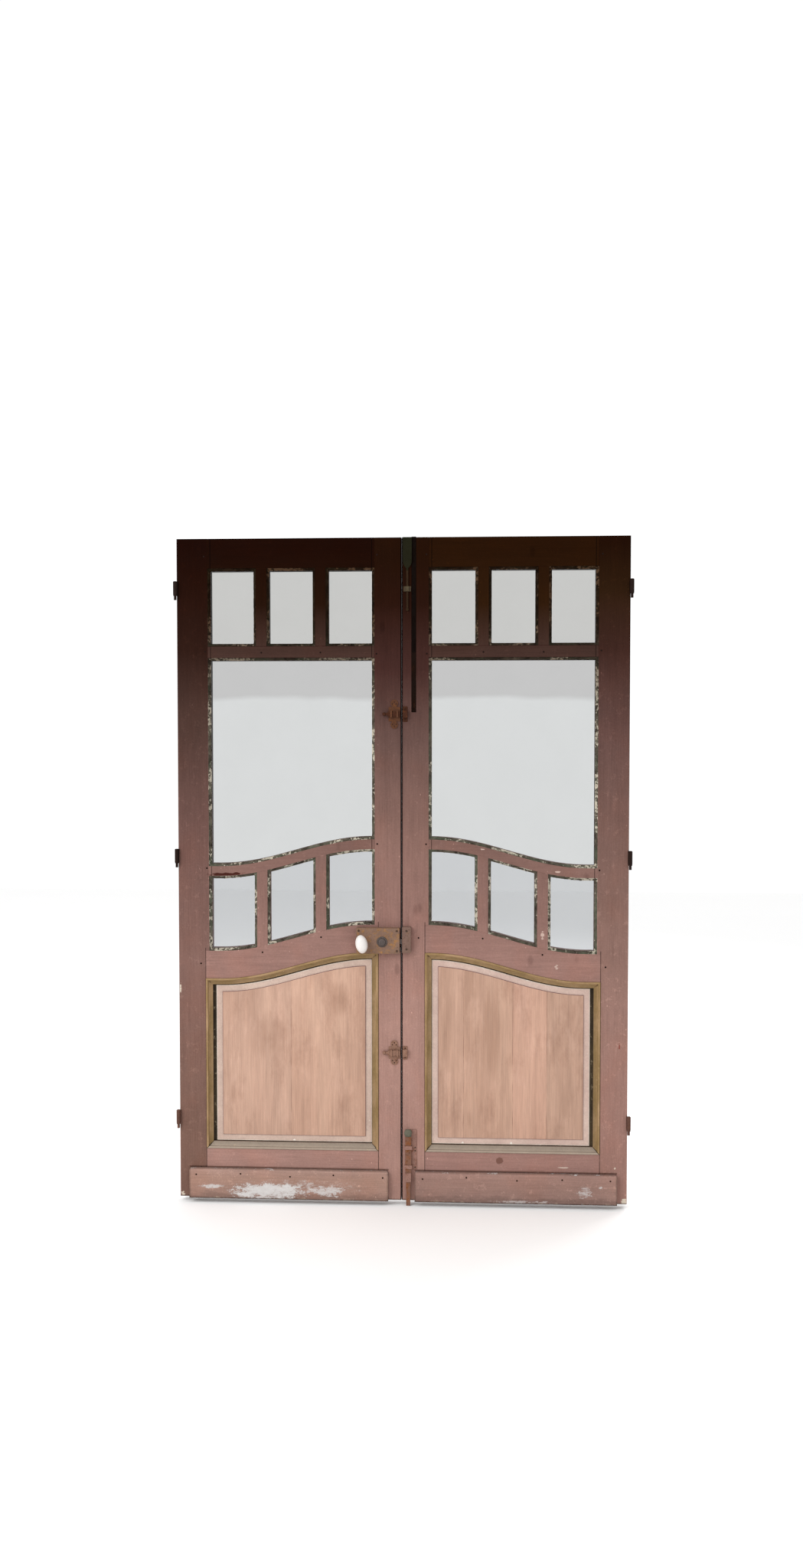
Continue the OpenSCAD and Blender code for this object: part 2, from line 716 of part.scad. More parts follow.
module pin() translate([-pin_out, -pin_front, 0]) {
  translate([0, 0, pin_foot])
    cylinder(r = pin_r, h = -pin_foot + knuckle_h - pin_top_room - pin_end_room);
  translate([0, 0, -seat_gap - collar_h]) cylinder(r = collar_r, h = collar_h);
}

module hinge_pins() color(steel_grey) {
  on_left() for (z = hinge_zs) translate([0, 0, z]) pin();
  on_right() for (z = hinge_zs) translate([0, 0, z]) pin();
}

// Rim lock on the left leaf
module lock_case() color(rust) at_edge(lock_z) difference() {
  front_y = [-case_d - over, -case_d + case_t + over];
  slab([-case_d, -case_t]) translate([case_x[0], 0]) rounded(case_w, case_h, case_t);
  block([case_x[0] + case_t, case_x[1] - case_t], [-case_d + case_t, 0], [case_t, case_h - case_t]);
  for (z = [latch_z, dead_z]) block(
    [case_x[1] - case_t - over, case_x[1] + over],
    [latch_y[0] - slide_gap, latch_y[1] + slide_gap], [z[0] - slide_gap, z[1] + slide_gap]
  );
  translate([knob_x, 0, knob_up]) round_bar(journal_r + journal_gap, front_y);
  translate([button_x, 0, button_up]) round_bar(shaft_r + journal_gap, front_y);
}

module lock_back_plate() color(rust) at_edge(lock_z) difference() {
  slab([-case_t, 0]) translate([case_x[0], 0]) rounded(case_w, case_h, case_t);
  translate([knob_x, 0, knob_up]) round_bar(journal_r + journal_gap, [-case_t - over, over]);
}

// Latch bolt: a bevelled head, and a tail that the follower's arm moves
module latch_bolt() color(steel_grey) at_edge(lock_z) difference() {
  head_x = latch_show - latch_head_l;
  union() {
    translate([0, 0, latch_z[0]]) linear_extrude(latch_h) polygon([
      [head_x, latch_y[0]], [latch_show, latch_y[0]], [latch_show, latch_y[0] + latch_bevel[1]],
      [latch_show - latch_bevel[0], latch_y[1]], [head_x, latch_y[1]]
    ]);
    block([head_x, head_x + tail_w], tail_y, [latch_z[0], tail_z[1]]);
    block([fork_x - tip_r - prong_w, head_x + over], tail_y, tail_z);
  }
  block(
    [fork_x - tip_r - slide_gap, fork_x + tip_r + slide_gap], [tail_y[0] - over, tail_y[1] + over],
    [tail_z[0] - over, knob_up + arm_l + tip_r + 1]
  );
}

module follower() color(steel_grey) at_edge(lock_z) translate([knob_x, 0, knob_up]) difference() {
  union() {
    round_bar(hub_r, [tail_y[0] - hub_front, -case_t - slide_gap]);
    round_bar(journal_r, [-case_t - over, -seat_gap]);
    rotate([0, arm_rest, 0]) {
      block([-arm_half, arm_half], tail_y, [0, arm_l]);
      translate([0, 0, arm_l]) round_bar(tip_r, tail_y);
    }
  }
  rotate([0, -knob_tilt, 0]) block(
    [-spindle_s / 2 - seat_gap, spindle_s / 2 + seat_gap], [tail_y[0] - hub_front - over, over],
    [-spindle_s / 2 - seat_gap, spindle_s / 2 + seat_gap]
  );
}

// Knob pieces, placed on the spindle's axis and tilted as they stand at rest
module on_spindle()
  at_edge(lock_z + knob_up) translate([knob_x, 0, 0]) rotate([0, -knob_tilt, 0]) children();

module knob_spindle() color(steel_grey) on_spindle() block(
  [-spindle_s / 2, spindle_s / 2], [-case_d - ferrule_l / 2, leaf_t + rose_t + ferrule_l / 2],
  [-spindle_s / 2, spindle_s / 2]
);

module ferrule_turning() difference() {
  waist_r = journal_r - 0.5;
  lip_r = journal_r + ferrule_lip;
  socket = spindle_s + 2 * seat_gap;
  rotate_extrude() polygon([
    [0, -case_t], [journal_r, -case_t], [journal_r, seat_gap], [lip_r, seat_gap], [lip_r, 2],
    [waist_r, 4], [waist_r, ferrule_l - 5], [lip_r, ferrule_l - 1], [lip_r, ferrule_l], [0, ferrule_l]
  ]);
  translate([-socket / 2, -socket / 2, -case_t - over])
    cube([socket, socket, ferrule_l / 2 + case_t + over + 0.5]);
}

module knob_ferrules() color(steel_grey) on_spindle() {
  translate([0, -case_d, 0]) rotate([90, 0, 0]) ferrule_turning();
  translate([0, leaf_t + rose_t, 0]) rotate([-90, 0, 0]) ferrule_turning();
}

module oval_knob(y, seat) difference() {
  translate([0, y, 0]) rotate_extrude() polygon(concat(
    [[0, -knob_h / 2]],
    [for (a = [-82.5:7.5:82.5]) [knob_w / 2 * cos(a), knob_h / 2 * sin(a)]],
    [[0, knob_h / 2]]
  ));
  block([-knob_w, knob_w], seat, [-knob_h, knob_h]);
}

module front_knob() color(porcelain) on_spindle() oval_knob(knob_y, [-case_d - ferrule_l, -case_d]);
module rear_knob() color(porcelain) on_spindle()
  oval_knob(rear_knob_y, [leaf_t + rose_t, leaf_t + rose_t + ferrule_l]);

module rear_rose() color(rust) at_edge(lock_z + knob_up) translate([knob_x, leaf_t, 0]) rotate([-90, 0, 0])
  rotate_extrude() polygon([
    [journal_r + journal_gap, 0], [rose_r, 0], [rose_r, 1.5], [rose_r - 3, rose_t - 1],
    [rose_r - 9, rose_t], [journal_r + journal_gap, rose_t]
  ]);

// Turn button with a cam that moves the dead bolt
module turn_button() color(steel_grey) at_edge(lock_z) translate([button_x, 0, button_up]) {
  turned(-case_d) rotate_extrude() polygon([
    [0, -shaft_in], [shaft_r, -shaft_in], [shaft_r, slide_gap], [button_r, slide_gap],
    [button_r, button_h - 3], [button_r - 1.5, button_h - 1], [button_r - 5, button_h - 0.2], [0, button_h]
  ]);
  round_bar(cam_hub_r, cam_y);
  rotate([0, cam_rest, 0]) {
    block([-arm_half, arm_half], cam_y, [-cam_l, 0]);
    translate([0, 0, -cam_l]) round_bar(tip_r, cam_y);
  }
}

module button_rose() color(steel_grey) at_edge(lock_z) translate([button_x, 0, button_up]) turned(-case_d)
  rotate_extrude() polygon([
    [button_r + slide_gap, 0], [button_rim_r, 0], [button_rim_r, button_rim_h - 2],
    [button_rim_r - 2, button_rim_h], [button_r + slide_gap, button_rim_h]
  ]);

module dead_bolt() color(steel_grey) at_edge(lock_z) difference() {
  union() {
    block([dead_fork_x - tip_r - dead_tail, dead_show], latch_y, dead_z);
    block(
      [dead_fork_x - tip_r - dead_fork_wall, dead_fork_x + tip_r + dead_fork_wall],
      [latch_y[0], cam_y[1] + 1], [dead_z[0], dead_fork_z + tip_r / 2]
    );
  }
  block(
    [dead_fork_x - tip_r - slide_gap, dead_fork_x + tip_r + slide_gap],
    [latch_y[0] - over, cam_y[1] + slide_gap],
    [button_up - cam_l - tip_r - slide_gap, dead_fork_z + tip_r + over]
  );
}

module lock_keeper() color(rust) at_edge(lock_z) difference() {
  slab([-keeper_d, 0]) translate([-keeper_w, keeper_z[0]])
    rounded(keeper_w, keeper_z[1] - keeper_z[0], case_t);
  block(
    [-keeper_w + case_t, over], [-keeper_d + case_t, over], [keeper_z[0] + case_t, keeper_z[1] - case_t]
  );
}

// Strap over a bar that slides along u, at the plate's front
module cross_strap(u, bar_h, bar_t) difference() {
  block(
    [u - strap_w / 2, u + strap_w / 2],
    [-plate_t - bar_t - 2 * slide_gap - plate_t, -plate_t + strap_root],
    [-bar_h / 2 - slide_gap - plate_t, bar_h / 2 + slide_gap + plate_t]
  );
  block(
    [u - strap_w, u + strap_w], [-plate_t - bar_t - 2 * slide_gap, -plate_t],
    [-bar_h / 2 - slide_gap, bar_h / 2 + slide_gap]
  );
}

// Catch plate with waisted, lobed ends
module catch_outline(h) {
  mid_h = h * 0.5;
  lobe_r = catch_w * 0.32;
  waist_w = catch_w * 0.42;
  translate([-catch_w / 2, -mid_h / 2]) rounded(catch_w, mid_h, plate_round);
  translate([-waist_w / 2, -h / 2 + lobe_r]) square([waist_w, h - 2 * lobe_r]);
  for (side = [-1, 1]) translate([0, side * (h / 2 - lobe_r)]) circle(lobe_r);
}

module catch_plate(z, h) at_edge(z) {
  slab([-plate_t, 0]) translate([(catch_x[0] + catch_x[1]) / 2, 0]) catch_outline(h);
  for (u = [catch_x[0] + strap_inset + strap_w / 2, catch_x[1] - strap_inset - strap_w / 2])
    cross_strap(u, catch_bolt_h, catch_bolt_t);
}

module catch_bolt(z) at_edge(z) {
  knob_l = catch_bolt_t + catch_knob_h;
  block([catch_bar_x, catch_x[1]], bar_y, [-catch_bolt_h / 2, catch_bolt_h / 2]);
  block([catch_knob_x, catch_bar_x + over], bar_y, [-catch_bolt_h / 4, catch_bolt_h / 4]);
  translate([catch_knob_x, bar_y[1], 0]) rotate([90, 0, 0]) rotate_extrude() polygon([
    [0, 0], [catch_knob_r, 0], [catch_knob_r, catch_bolt_t], [catch_knob_r - 1, knob_l - 1.2],
    [catch_knob_r - 3.5, knob_l - 0.2], [0, knob_l]
  ]);
}

module catch_keeper(z, h) at_edge(z) difference() {
  loop_h = catch_bolt_h / 2 + loop_room;
  union() {
    slab([-keeper_base_t, 0]) translate([catch_keeper_x[0], -h / 2]) rounded(catch_keeper_w, h, plate_round);
    block(
      catch_keeper_x, [bar_y[0] - loop_room - plate_t, -keeper_base_t + strap_root],
      [-loop_h - plate_t, loop_h + plate_t]
    );
  }
  block(
    [catch_keeper_x[0] - over, catch_keeper_x[1] + over], [bar_y[0] - loop_room, -keeper_base_t],
    [-loop_h, loop_h]
  );
}

module upper_catch_plate() color(rust) catch_plate(upper_catch_z, upper_plate_h);
module upper_catch_bolt() color(rust) catch_bolt(upper_catch_z);
module upper_catch_keeper() color(rust) catch_keeper(upper_catch_z, upper_keeper_h);
module lower_catch_plate() color(wood_faded) catch_plate(lower_catch_z, lower_plate_h);
module lower_catch_bolt() color(wood_faded) catch_bolt(lower_catch_z);
module lower_catch_keeper() color(wood_faded) catch_keeper(lower_catch_z, lower_keeper_h);

// Top bolt of the right leaf: a shield that tapers to a flat rod
module shield_outline() {
  r = shield_w / 2;
  drop = shield_h - 2 * r;
  translate([-r, -drop]) square([shield_w, drop]);
  intersection() {
    translate([-r, -shield_h]) square([shield_w, shield_w + over]);
    translate([r, -drop]) circle(shield_w, $fn = 96);
    translate([-r, -drop]) circle(shield_w, $fn = 96);
  }
}

module top_bolt() color(iron_green) at_edge(leaf_h) translate([-top_bolt_back, 0, 0]) {
  slab(top_bolt_y) shield_outline();
  slab(top_bolt_y) translate([-top_rod_w / 2, -top_bolt_l])
    square([top_rod_w, top_bolt_l - shield_h + shield_lap]);
  turned(top_bolt_y[1]) translate([0, -top_bolt_l, 0])
    cylinder(r = top_rod_w * 0.7, h = top_bolt_t + top_stop_h);
}

module top_bolt_guide() color(iron_green) at_edge(leaf_h - top_guide_drop) translate([-top_bolt_back, 0, 0])
  difference() {
    union() {
      block([-top_guide_w / 2, top_guide_w / 2], [-plate_t, 0], [0, top_guide_h]);
      block(
        [-top_rod_w / 2 - slide_gap - plate_t, top_rod_w / 2 + slide_gap + plate_t],
        [top_bolt_y[0] - slide_gap - plate_t, 0], [0, top_guide_h]
      );
    }
    block(
      [-top_rod_w / 2 - slide_gap, top_rod_w / 2 + slide_gap], [top_bolt_y[0] - slide_gap, over],
      [-over, top_guide_h + over]
    );
  }

// Long bolt of the right leaf: a flat bar in its groove, with a finger notch
module long_bolt() color(rust) at_edge(long_groove_z) translate([-long_bolt_back, 0, 0]) difference() {
  half_w = long_groove_w / 2 - slide_gap;
  block(
    [-half_w, half_w], [slide_gap * 2, long_groove_d - slide_gap],
    [slide_gap, leaf_h - long_groove_z + long_bolt_tip]
  );
  block(
    [-half_w + notch_wall, half_w - notch_wall], [0, long_groove_d / 2], [notch_foot, notch_foot + notch_l]
  );
}

// Bottom bolt of the right leaf: a bar that stands on its collar, and its knob
module bottom_bolt() color(rust) at_edge(0) translate([-bottom_bolt_back, 0, 0]) {
  stop_z = bottom_collar_z + bottom_collar_h + slide_gap;
  knob_l = bottom_bolt_t + bottom_knob_l;
  block([-bottom_tip_w / 2, bottom_tip_w / 2], bottom_bar_y, [-bottom_tip, stop_z + over]);
  block([-bottom_bar_w / 2, bottom_bar_w / 2], bottom_bar_y, [stop_z, bottom_knob_z + bottom_bar_over]);
  translate([0, bottom_bar_y[1], bottom_knob_z]) rotate([90, 0, 0]) rotate_extrude() polygon([
    [0, 0], [bottom_neck_r, 0], [bottom_neck_r, knob_l - 15.5], [bottom_knob_r - 2, knob_l - 13.5],
    [bottom_knob_r, knob_l - 10.5], [bottom_knob_r, knob_l - 6.5], [bottom_knob_r - 3, knob_l - 2.5],
    [bottom_knob_r / 2, knob_l - 0.5], [0, knob_l]
  ]);
}

// Strap over a bar that slides along Z
module upright_strap(z, h, bar_w, foot_y) difference() {
  block(
    [-bar_w / 2 - slide_gap - plate_t, bar_w / 2 + slide_gap + plate_t],
    [bottom_bar_y[0] - slide_gap - plate_t, foot_y], [z, z + h]
  );
  block(
    [-bar_w / 2 - slide_gap, bar_w / 2 + slide_gap], [bottom_bar_y[0] - slide_gap, -plate_t],
    [z - over, z + h + over]
  );
}

module bottom_bolt_plate() color(rust) at_edge(0) translate([-bottom_bolt_back, 0, 0]) {
  translate([0, 0, bottom_plate_z]) {
    slab([-plate_t, 0]) translate([-bottom_plate_w / 2 - bottom_plate_shift, 0])
      rounded(bottom_plate_w, bottom_plate_h, bottom_plate_round);
    for (i = [0:1]) upright_strap(
      bottom_strap_foot + i * bottom_strap_pitch, bottom_strap_h, bottom_bar_w, -plate_t + strap_root
    );
  }
  upright_strap(bottom_collar_z, bottom_collar_h, bottom_tip_w, 0);
}

hinge_pins();
on_left() hinge_stile();  // left_hinge_stile
on_left() meeting_stile(false);  // left_meeting_stile
on_left() top_rail();  // left_top_rail
on_left() top_muntins();  // left_top_muntins
on_left() transom_rail();  // left_transom_rail
on_left() curved_rail();  // left_curved_rail
on_left() lower_muntins();  // left_lower_muntins
on_left() lock_rail(true);  // left_lock_rail
on_left() bottom_rail();  // left_bottom_rail
on_left() panel();  // left_panel
on_left() panel_mouldings();  // left_panel_mouldings
on_left() kick_board();  // left_kick_board
on_left() panes(top_lights);  // left_top_panes
on_left() panes(large_light);  // left_large_pane
on_left() panes(lower_lights);  // left_lower_panes
on_left() putty();  // left_putty
on_left() hinges();  // left_hinges
on_right() hinge_stile();  // right_hinge_stile
on_right() meeting_stile(true);  // right_meeting_stile
on_right() top_rail();  // right_top_rail
on_right() top_muntins();  // right_top_muntins
on_right() transom_rail();  // right_transom_rail
on_right() curved_rail();  // right_curved_rail
on_right() lower_muntins();  // right_lower_muntins
on_right() lock_rail(false);  // right_lock_rail
on_right() bottom_rail();  // right_bottom_rail
on_right() panel();  // right_panel
on_right() panel_mouldings();  // right_panel_mouldings
on_right() kick_board();  // right_kick_board
on_right() panes(top_lights);  // right_top_panes
on_right() panes(large_light);  // right_large_pane
on_right() panes(lower_lights);  // right_lower_panes
on_right() putty();  // right_putty
on_right() hinges();  // right_hinges
on_left() lock_case();
on_left() lock_back_plate();
on_left() latch_bolt();
on_left() dead_bolt();
on_left() follower();
on_left() knob_spindle();
on_left() knob_ferrules();
on_left() front_knob();
on_left() rear_knob();
on_left() rear_rose();
on_left() turn_button();
on_left() button_rose();
on_right() lock_keeper();
on_left() upper_catch_plate();
on_left() upper_catch_bolt();
on_right() upper_catch_keeper();
on_left() lower_catch_plate();
on_left() lower_catch_bolt();
on_right() lower_catch_keeper();
on_right() top_bolt();
on_right() top_bolt_guide();
on_right() long_bolt();
on_right() bottom_bolt();
on_right() bottom_bolt_plate();
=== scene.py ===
"""Looks of a pair of old glazed timber doors: faded paint, darker towards the top partly as painted shade,
raw panels, chipped putty, rusty hardware.
"""

import logging
import math
from collections.abc import Callable, Iterator, Sequence
from contextlib import contextmanager
from dataclasses import dataclass
from enum import Enum, IntEnum
from functools import lru_cache, partial, reduce
from typing import Protocol

import bpy
from mathutils import Matrix, Vector


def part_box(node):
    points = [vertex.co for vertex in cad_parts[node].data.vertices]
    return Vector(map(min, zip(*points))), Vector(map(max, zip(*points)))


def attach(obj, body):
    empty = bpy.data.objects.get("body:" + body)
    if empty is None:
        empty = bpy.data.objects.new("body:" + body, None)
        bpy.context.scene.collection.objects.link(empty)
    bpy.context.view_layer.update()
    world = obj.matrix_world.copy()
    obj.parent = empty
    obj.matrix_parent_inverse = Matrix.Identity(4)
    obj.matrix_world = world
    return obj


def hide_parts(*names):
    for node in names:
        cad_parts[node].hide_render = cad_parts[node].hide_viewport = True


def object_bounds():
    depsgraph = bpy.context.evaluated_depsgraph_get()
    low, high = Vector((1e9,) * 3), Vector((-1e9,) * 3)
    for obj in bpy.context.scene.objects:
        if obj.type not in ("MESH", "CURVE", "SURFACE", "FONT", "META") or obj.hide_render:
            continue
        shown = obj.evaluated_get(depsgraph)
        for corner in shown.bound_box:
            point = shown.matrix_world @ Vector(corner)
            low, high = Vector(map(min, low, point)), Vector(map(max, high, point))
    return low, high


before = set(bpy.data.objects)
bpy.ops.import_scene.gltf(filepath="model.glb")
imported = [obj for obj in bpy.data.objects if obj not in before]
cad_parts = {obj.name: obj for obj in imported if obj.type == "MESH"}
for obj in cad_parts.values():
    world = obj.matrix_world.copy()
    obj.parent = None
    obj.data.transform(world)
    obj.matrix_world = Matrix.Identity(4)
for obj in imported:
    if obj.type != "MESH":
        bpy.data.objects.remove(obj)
CAD_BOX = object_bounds()

LOG = logging.getLogger("doors")

Triple = tuple[float, float, float]
Colour = tuple[float, float, float, float]
Socket = bpy.types.NodeSocket
Object = bpy.types.Object
Material = bpy.types.Material
Number = float | Socket
Tint = Colour | Socket
Value = Number | Tint | Triple
HeightRamp = tuple[tuple[float, str], ...]

# Leaf sizes in metres, in the frame of the doors
MM = 0.001
HINGE_X = 4 * MM
FAR_HINGE_X = 1530 * MM
FRONT_Y = 7 * MM
BACK_Y = 47 * MM
FOOT_Z = -245.9 * MM
LEAF_W = 760 * MM
LEAF_H = 2250 * MM
SEAM_X = 767 * MM
MOULD_W = 22 * MM
HINGE_STILE_W = 114 * MM
MEETING_STILE_W = 98 * MM
CURVE_INSET = 28 * MM
CURVE_RISE = 94 * MM

# Corners of a node that lie closer than this are one
MERGE = 0.01 * MM

# Places across of the joints between stiles and rails, and the heights that they run between
JOINTS = (
    ((96 * MM, 1438 * MM), FOOT_Z, 614 * MM),
    ((688 * MM, 846 * MM), FOOT_Z, 708 * MM),
    ((118 * MM, 666 * MM, 868 * MM, 1416 * MM), 852 * MM, FOOT_Z + LEAF_H))

# Kick boards
KICK_TOP = FOOT_Z + 103 * MM
KICK_HALF_W = 342 * MM
KICKS_X = (380 * MM, 1154 * MM)

# How much brighter the studio makes a matt front face than its own tint
STUDIO_GAIN = 1.25


def tone(tint: str, gain: float = STUDIO_GAIN) -> Colour:
    """Turns a display tint into a surface colour that shows as that tint in the studio.

    Args:
        tint: Six hexadecimal digits of a display colour.
        gain: Brightness that the studio adds.

    Returns:
        The linear colour with an alpha of one.
    """
    parts = (int(tint[i:i + 2], 16) / 255 for i in (0, 2, 4))
    linear = (c / 12.92 if c <= 0.04045 else ((c + 0.055) / 1.055) ** 2.4 for c in parts)
    red, green, blue = (c / gain for c in linear)
    return red, green, blue, 1.0


def curve_rise(u: float) -> float:
    """Rise of the curved rails along the leaf.

    Args:
        u: Distance from the leaf's hinge edge.

    Returns:
        The height above the low end of the curve.
    """
    start = HINGE_STILE_W + CURVE_INSET
    end = LEAF_W - MEETING_STILE_W
    share = min(1.0, max(0.0, (u - start) / (end - start)))
    return CURVE_RISE * (1 - math.cos(math.pi * share)) / 2


def inside(low: float, high: float, inset: float) -> tuple[float, float]:
    """The two places that lie an inset inside the ends of a span."""
    return low + inset, high - inset


class Side(Enum):
    """Which leaf of the pair a piece belongs to."""

    LEFT = "left"
    RIGHT = "right"

    @property
    def body(self) -> str:
        """Name of the leaf's moving body."""
        return f"{self.value}_leaf"

    def node(self, name: str) -> str:
        """Name of one of this leaf's nodes."""
        return f"{self.value}_{name}"

    def x(self, u: float) -> float:
        """Place across the doors of a distance from the leaf's hinge edge."""
        return HINGE_X + u if self is Side.LEFT else FAR_HINGE_X - u


class Grain(Enum):
    """Run of the wood fibres, as the stretch of a pattern along X, Y and Z."""

    UPRIGHT = (70.0, 70.0, 3.0)
    LEVEL = (3.0, 70.0, 70.0)


class Facing(Enum):
    """Way that the head of a screw or nail looks, as a turn from facing up."""

    FRONT = (math.radians(90), "X")
    BACK = (math.radians(-90), "X")
    LEFT = (math.radians(-90), "Y")
    RIGHT = (math.radians(90), "Y")

    def turn(self) -> Matrix:
        """The turn as a matrix."""
        angle, axis = self.value
        return Matrix.Rotation(angle, 4, axis)


@dataclass(frozen=True)
class Patch:
    """A scar, chip, knot or worn spot on a front face, with a ragged border."""

    x: float
    z: float
    half_w: float
    half_h: float
    strength: float = 1.0
    tint: str = "d9cbb9"


class Graph:
    """Builds the node tree of one material on the piece's own coordinates."""

    def __init__(self, name: str) -> None:
        """Starts an empty material.

        Args:
            name: Name of the material.
        """
        self.material = bpy.data.materials.new(name)
        self.material.use_nodes = True
        self.tree = self.material.node_tree
        self.tree.nodes.clear()
        self.place: Socket = self.tree.nodes.new("ShaderNodeTexCoord").outputs["Object"]
        split = self.tree.nodes.new("ShaderNodeSeparateXYZ")
        self.feed(split.inputs[0], self.place)
        self.x, self.y, self.z = split.outputs

    def feed(self, socket: Socket, value: Value) -> None:
        """Links a socket, or sets it where the value is a constant.

        Args:
            socket: Input to feed.
            value: Another node's output, or a constant.
        """
        if isinstance(value, bpy.types.NodeSocket):
            self.tree.links.new(value, socket)
        else:
            socket.default_value = value

    def added(
            self, kind: str, inputs: dict[str | int, Value], output: str | int = 0,
            **options: str) -> Socket:
        """Adds a node with its options set and its inputs fed.

        Args:
            kind: Kind of shader node.
            inputs: Values of its inputs, by name or number.
            output: Name or number of the output that is wanted.
            options: Settings of the node itself.

        Returns:
            The wanted output.
        """
        node = self.tree.nodes.new(f"ShaderNode{kind}")
        for name, option in options.items():
            setattr(node, name, option)
        for key, value in inputs.items():
            self.feed(node.inputs[key], value)
        return node.outputs[output]

    def stretched(self, scale: Triple, shift: Triple = (0.0, 0.0, 0.0)) -> Socket:
        """Coordinates stretched along the axes and then moved."""
        return self.added("Mapping", {"Vector": self.place, "Scale": scale, "Location": shift})

    def noise(
            self, scale: float, detail: float = 5.0, rough: float = 0.55,
            where: Socket | None = None) -> Socket:
        """Fractal noise around one half.

        Args:
            scale: Fineness of the pattern.
            detail: Number of octaves.
            rough: Strength of the fine octaves.
            where: Coordinates, or none for the piece's own.

        Returns:
            The factor output.
        """
        vector = self.place if where is None else where
        inputs = {"Vector": vector, "Scale": scale, "Detail": detail, "Roughness": rough}
        return self.added("TexNoise", inputs)

    def streaks(
            self, stretch: Triple, detail: float = 5.0, rough: float = 0.55,
            shift: Triple = (0.0, 0.0, 0.0)) -> Socket:
        """Noise that is stretched along the axes and then moved."""
        return self.noise(1.0, detail, rough, self.stretched(stretch, shift))

    def cells(self, where: Socket, scale: float, feature: str = "F1") -> Socket:
        """Distance to the points or edges of a pattern of cells, so many to the metre."""
        return self.added("TexVoronoi", {"Vector": where, "Scale": scale}, "Distance", feature=feature)

    def math(self, operation: str, first: Number, second: Number = 0.0) -> Socket:
        """One sum on two numbers."""
        return self.added("Math", {0: first, 1: second}, operation=operation)

    def plus(self, first: Number, second: Number) -> Socket:
        """Sum of two numbers."""
        return self.math("ADD", first, second)

    def minus(self, first: Number, second: Number) -> Socket:
        """Difference of two numbers."""
        return self.math("SUBTRACT", first, second)

    def both(self, *factors: Number) -> Number:
        """Product of several factors."""
        return reduce(partial(self.math, "MULTIPLY"), factors)

    def either(self, *factors: Number) -> Number:
        """Largest of several factors."""
        return reduce(partial(self.math, "MAXIMUM"), factors)

    def swing(self, wave: Socket, depth: float) -> Number:
        """Noise moved to around nought and made as deep as given."""
        return self.both(self.minus(wave, 0.5), depth)

    def away(self, value: Number, middle: float) -> Socket:
        """Distance of a value from a middle."""
        return self.math("ABSOLUTE", self.minus(value, middle))

    def nearest(self, value: Number, places: Sequence[float]) -> Number:
        """Distance of a value from the nearest of several places."""
        return reduce(partial(self.math, "MINIMUM"), [self.away(value, place) for place in places])

    def height_share(self) -> Socket:
        """Height up the leaf, from nought at the foot to one at the top."""
        return self.math("DIVIDE", self.minus(self.z, FOOT_Z), LEAF_H)

    def band(self, value: Number, low: float, high: float, start: float = 0.0, end: float = 1.0) -> Socket:
        """Smooth step of a value between two limits.

        Args:
            value: Number to map.
            low: Limit that gives start.
            high: Limit that gives end.
            start: Result at the low limit.
            end: Result at the high limit.

        Returns:
            The mapped value.
        """
        if low > high:
            low, high, start, end = high, low, end, start
        inputs = dict(enumerate((value, low, high, start, end)))
        return self.added("MapRange", inputs, interpolation_type="SMOOTHSTEP")

    def ramp(self, value: Socket, stops: Sequence[tuple[float, str]]) -> Socket:
        """Colour along a scale from nought to one.

        Args:
            value: Place on the scale.
            stops: Places and their tints, in order.

        Returns:
            The colour output.
        """
        node = self.tree.nodes.new("ShaderNodeValToRGB")
        elements = node.color_ramp.elements
        while len(elements) < len(stops):
            elements.new(0.5)
        for element, (place, tint) in zip(elements, stops):
            element.position = place
            element.color = tone(tint)
        self.feed(node.inputs[0], value)
        return node.outputs[0]

    def mix(self, factor: Number, first: Tint, second: Tint) -> Socket:
        """Colour between two colours, at a share of the second."""
        return self.added("Mix", {0: factor, 6: first, 7: second}, 2, data_type="RGBA")

    def scaled(self, colour: Socket, factor: Number) -> Socket:
        """Colour times a number."""
        return self.added("VectorMath", {0: colour, "Scale": factor}, operation="SCALE")

    def coated(self, colour: Socket, factor: Number, tint: str, gain: float = STUDIO_GAIN) -> Socket:
        """Colour partly covered by a tint."""
        return self.mix(factor, colour, tone(tint, gain))

    def dyed(self, colour: Socket, factor: Number, dye: Triple) -> Socket:
        """Colour partly times a dye, so that light paint stays light and dark paint dark."""
        return self.mix(factor, colour, self.added("VectorMath", {0: colour, 1: dye}, operation="MULTIPLY"))

    def shaded(self, colour: Socket, *waves: tuple[Socket, float]) -> Socket:
        """Colour made lighter and darker by noises, each with the change that its full range makes."""
        swings = [self.swing(wave, depth) for wave, depth in waves]
        return self.scaled(colour, reduce(self.plus, swings, 1.0))

    def bump(self, height: Socket, distance: float, strength: float = 0.6) -> Socket:
        """Normal of a fine relief, from a height pattern whose full range is a distance deep."""
        return self.added("Bump", {"Strength": strength, "Distance": distance, "Height": height})

    def surface(
            self, colour: Tint, rough: Number, normal: Socket | None = None,
            **constants: float) -> Material:
        """Ends the tree in one shader.

        Args:
            colour: Base colour.
            rough: Roughness.
            normal: Normal of the relief.
            constants: Further shader inputs, with their names' blanks as underscores.

        Returns:
            The finished material.
        """
        inputs: dict[str | int, Value] = {"Base Color": colour, "Roughness": rough}
        if normal is not None:
            inputs["Normal"] = normal
        inputs.update({name.replace("_", " "): value for name, value in constants.items()})
        output = self.tree.nodes.new("ShaderNodeOutputMaterial")
        self.feed(output.inputs["Surface"], self.added("BsdfPrincipled", inputs))
        return self.material

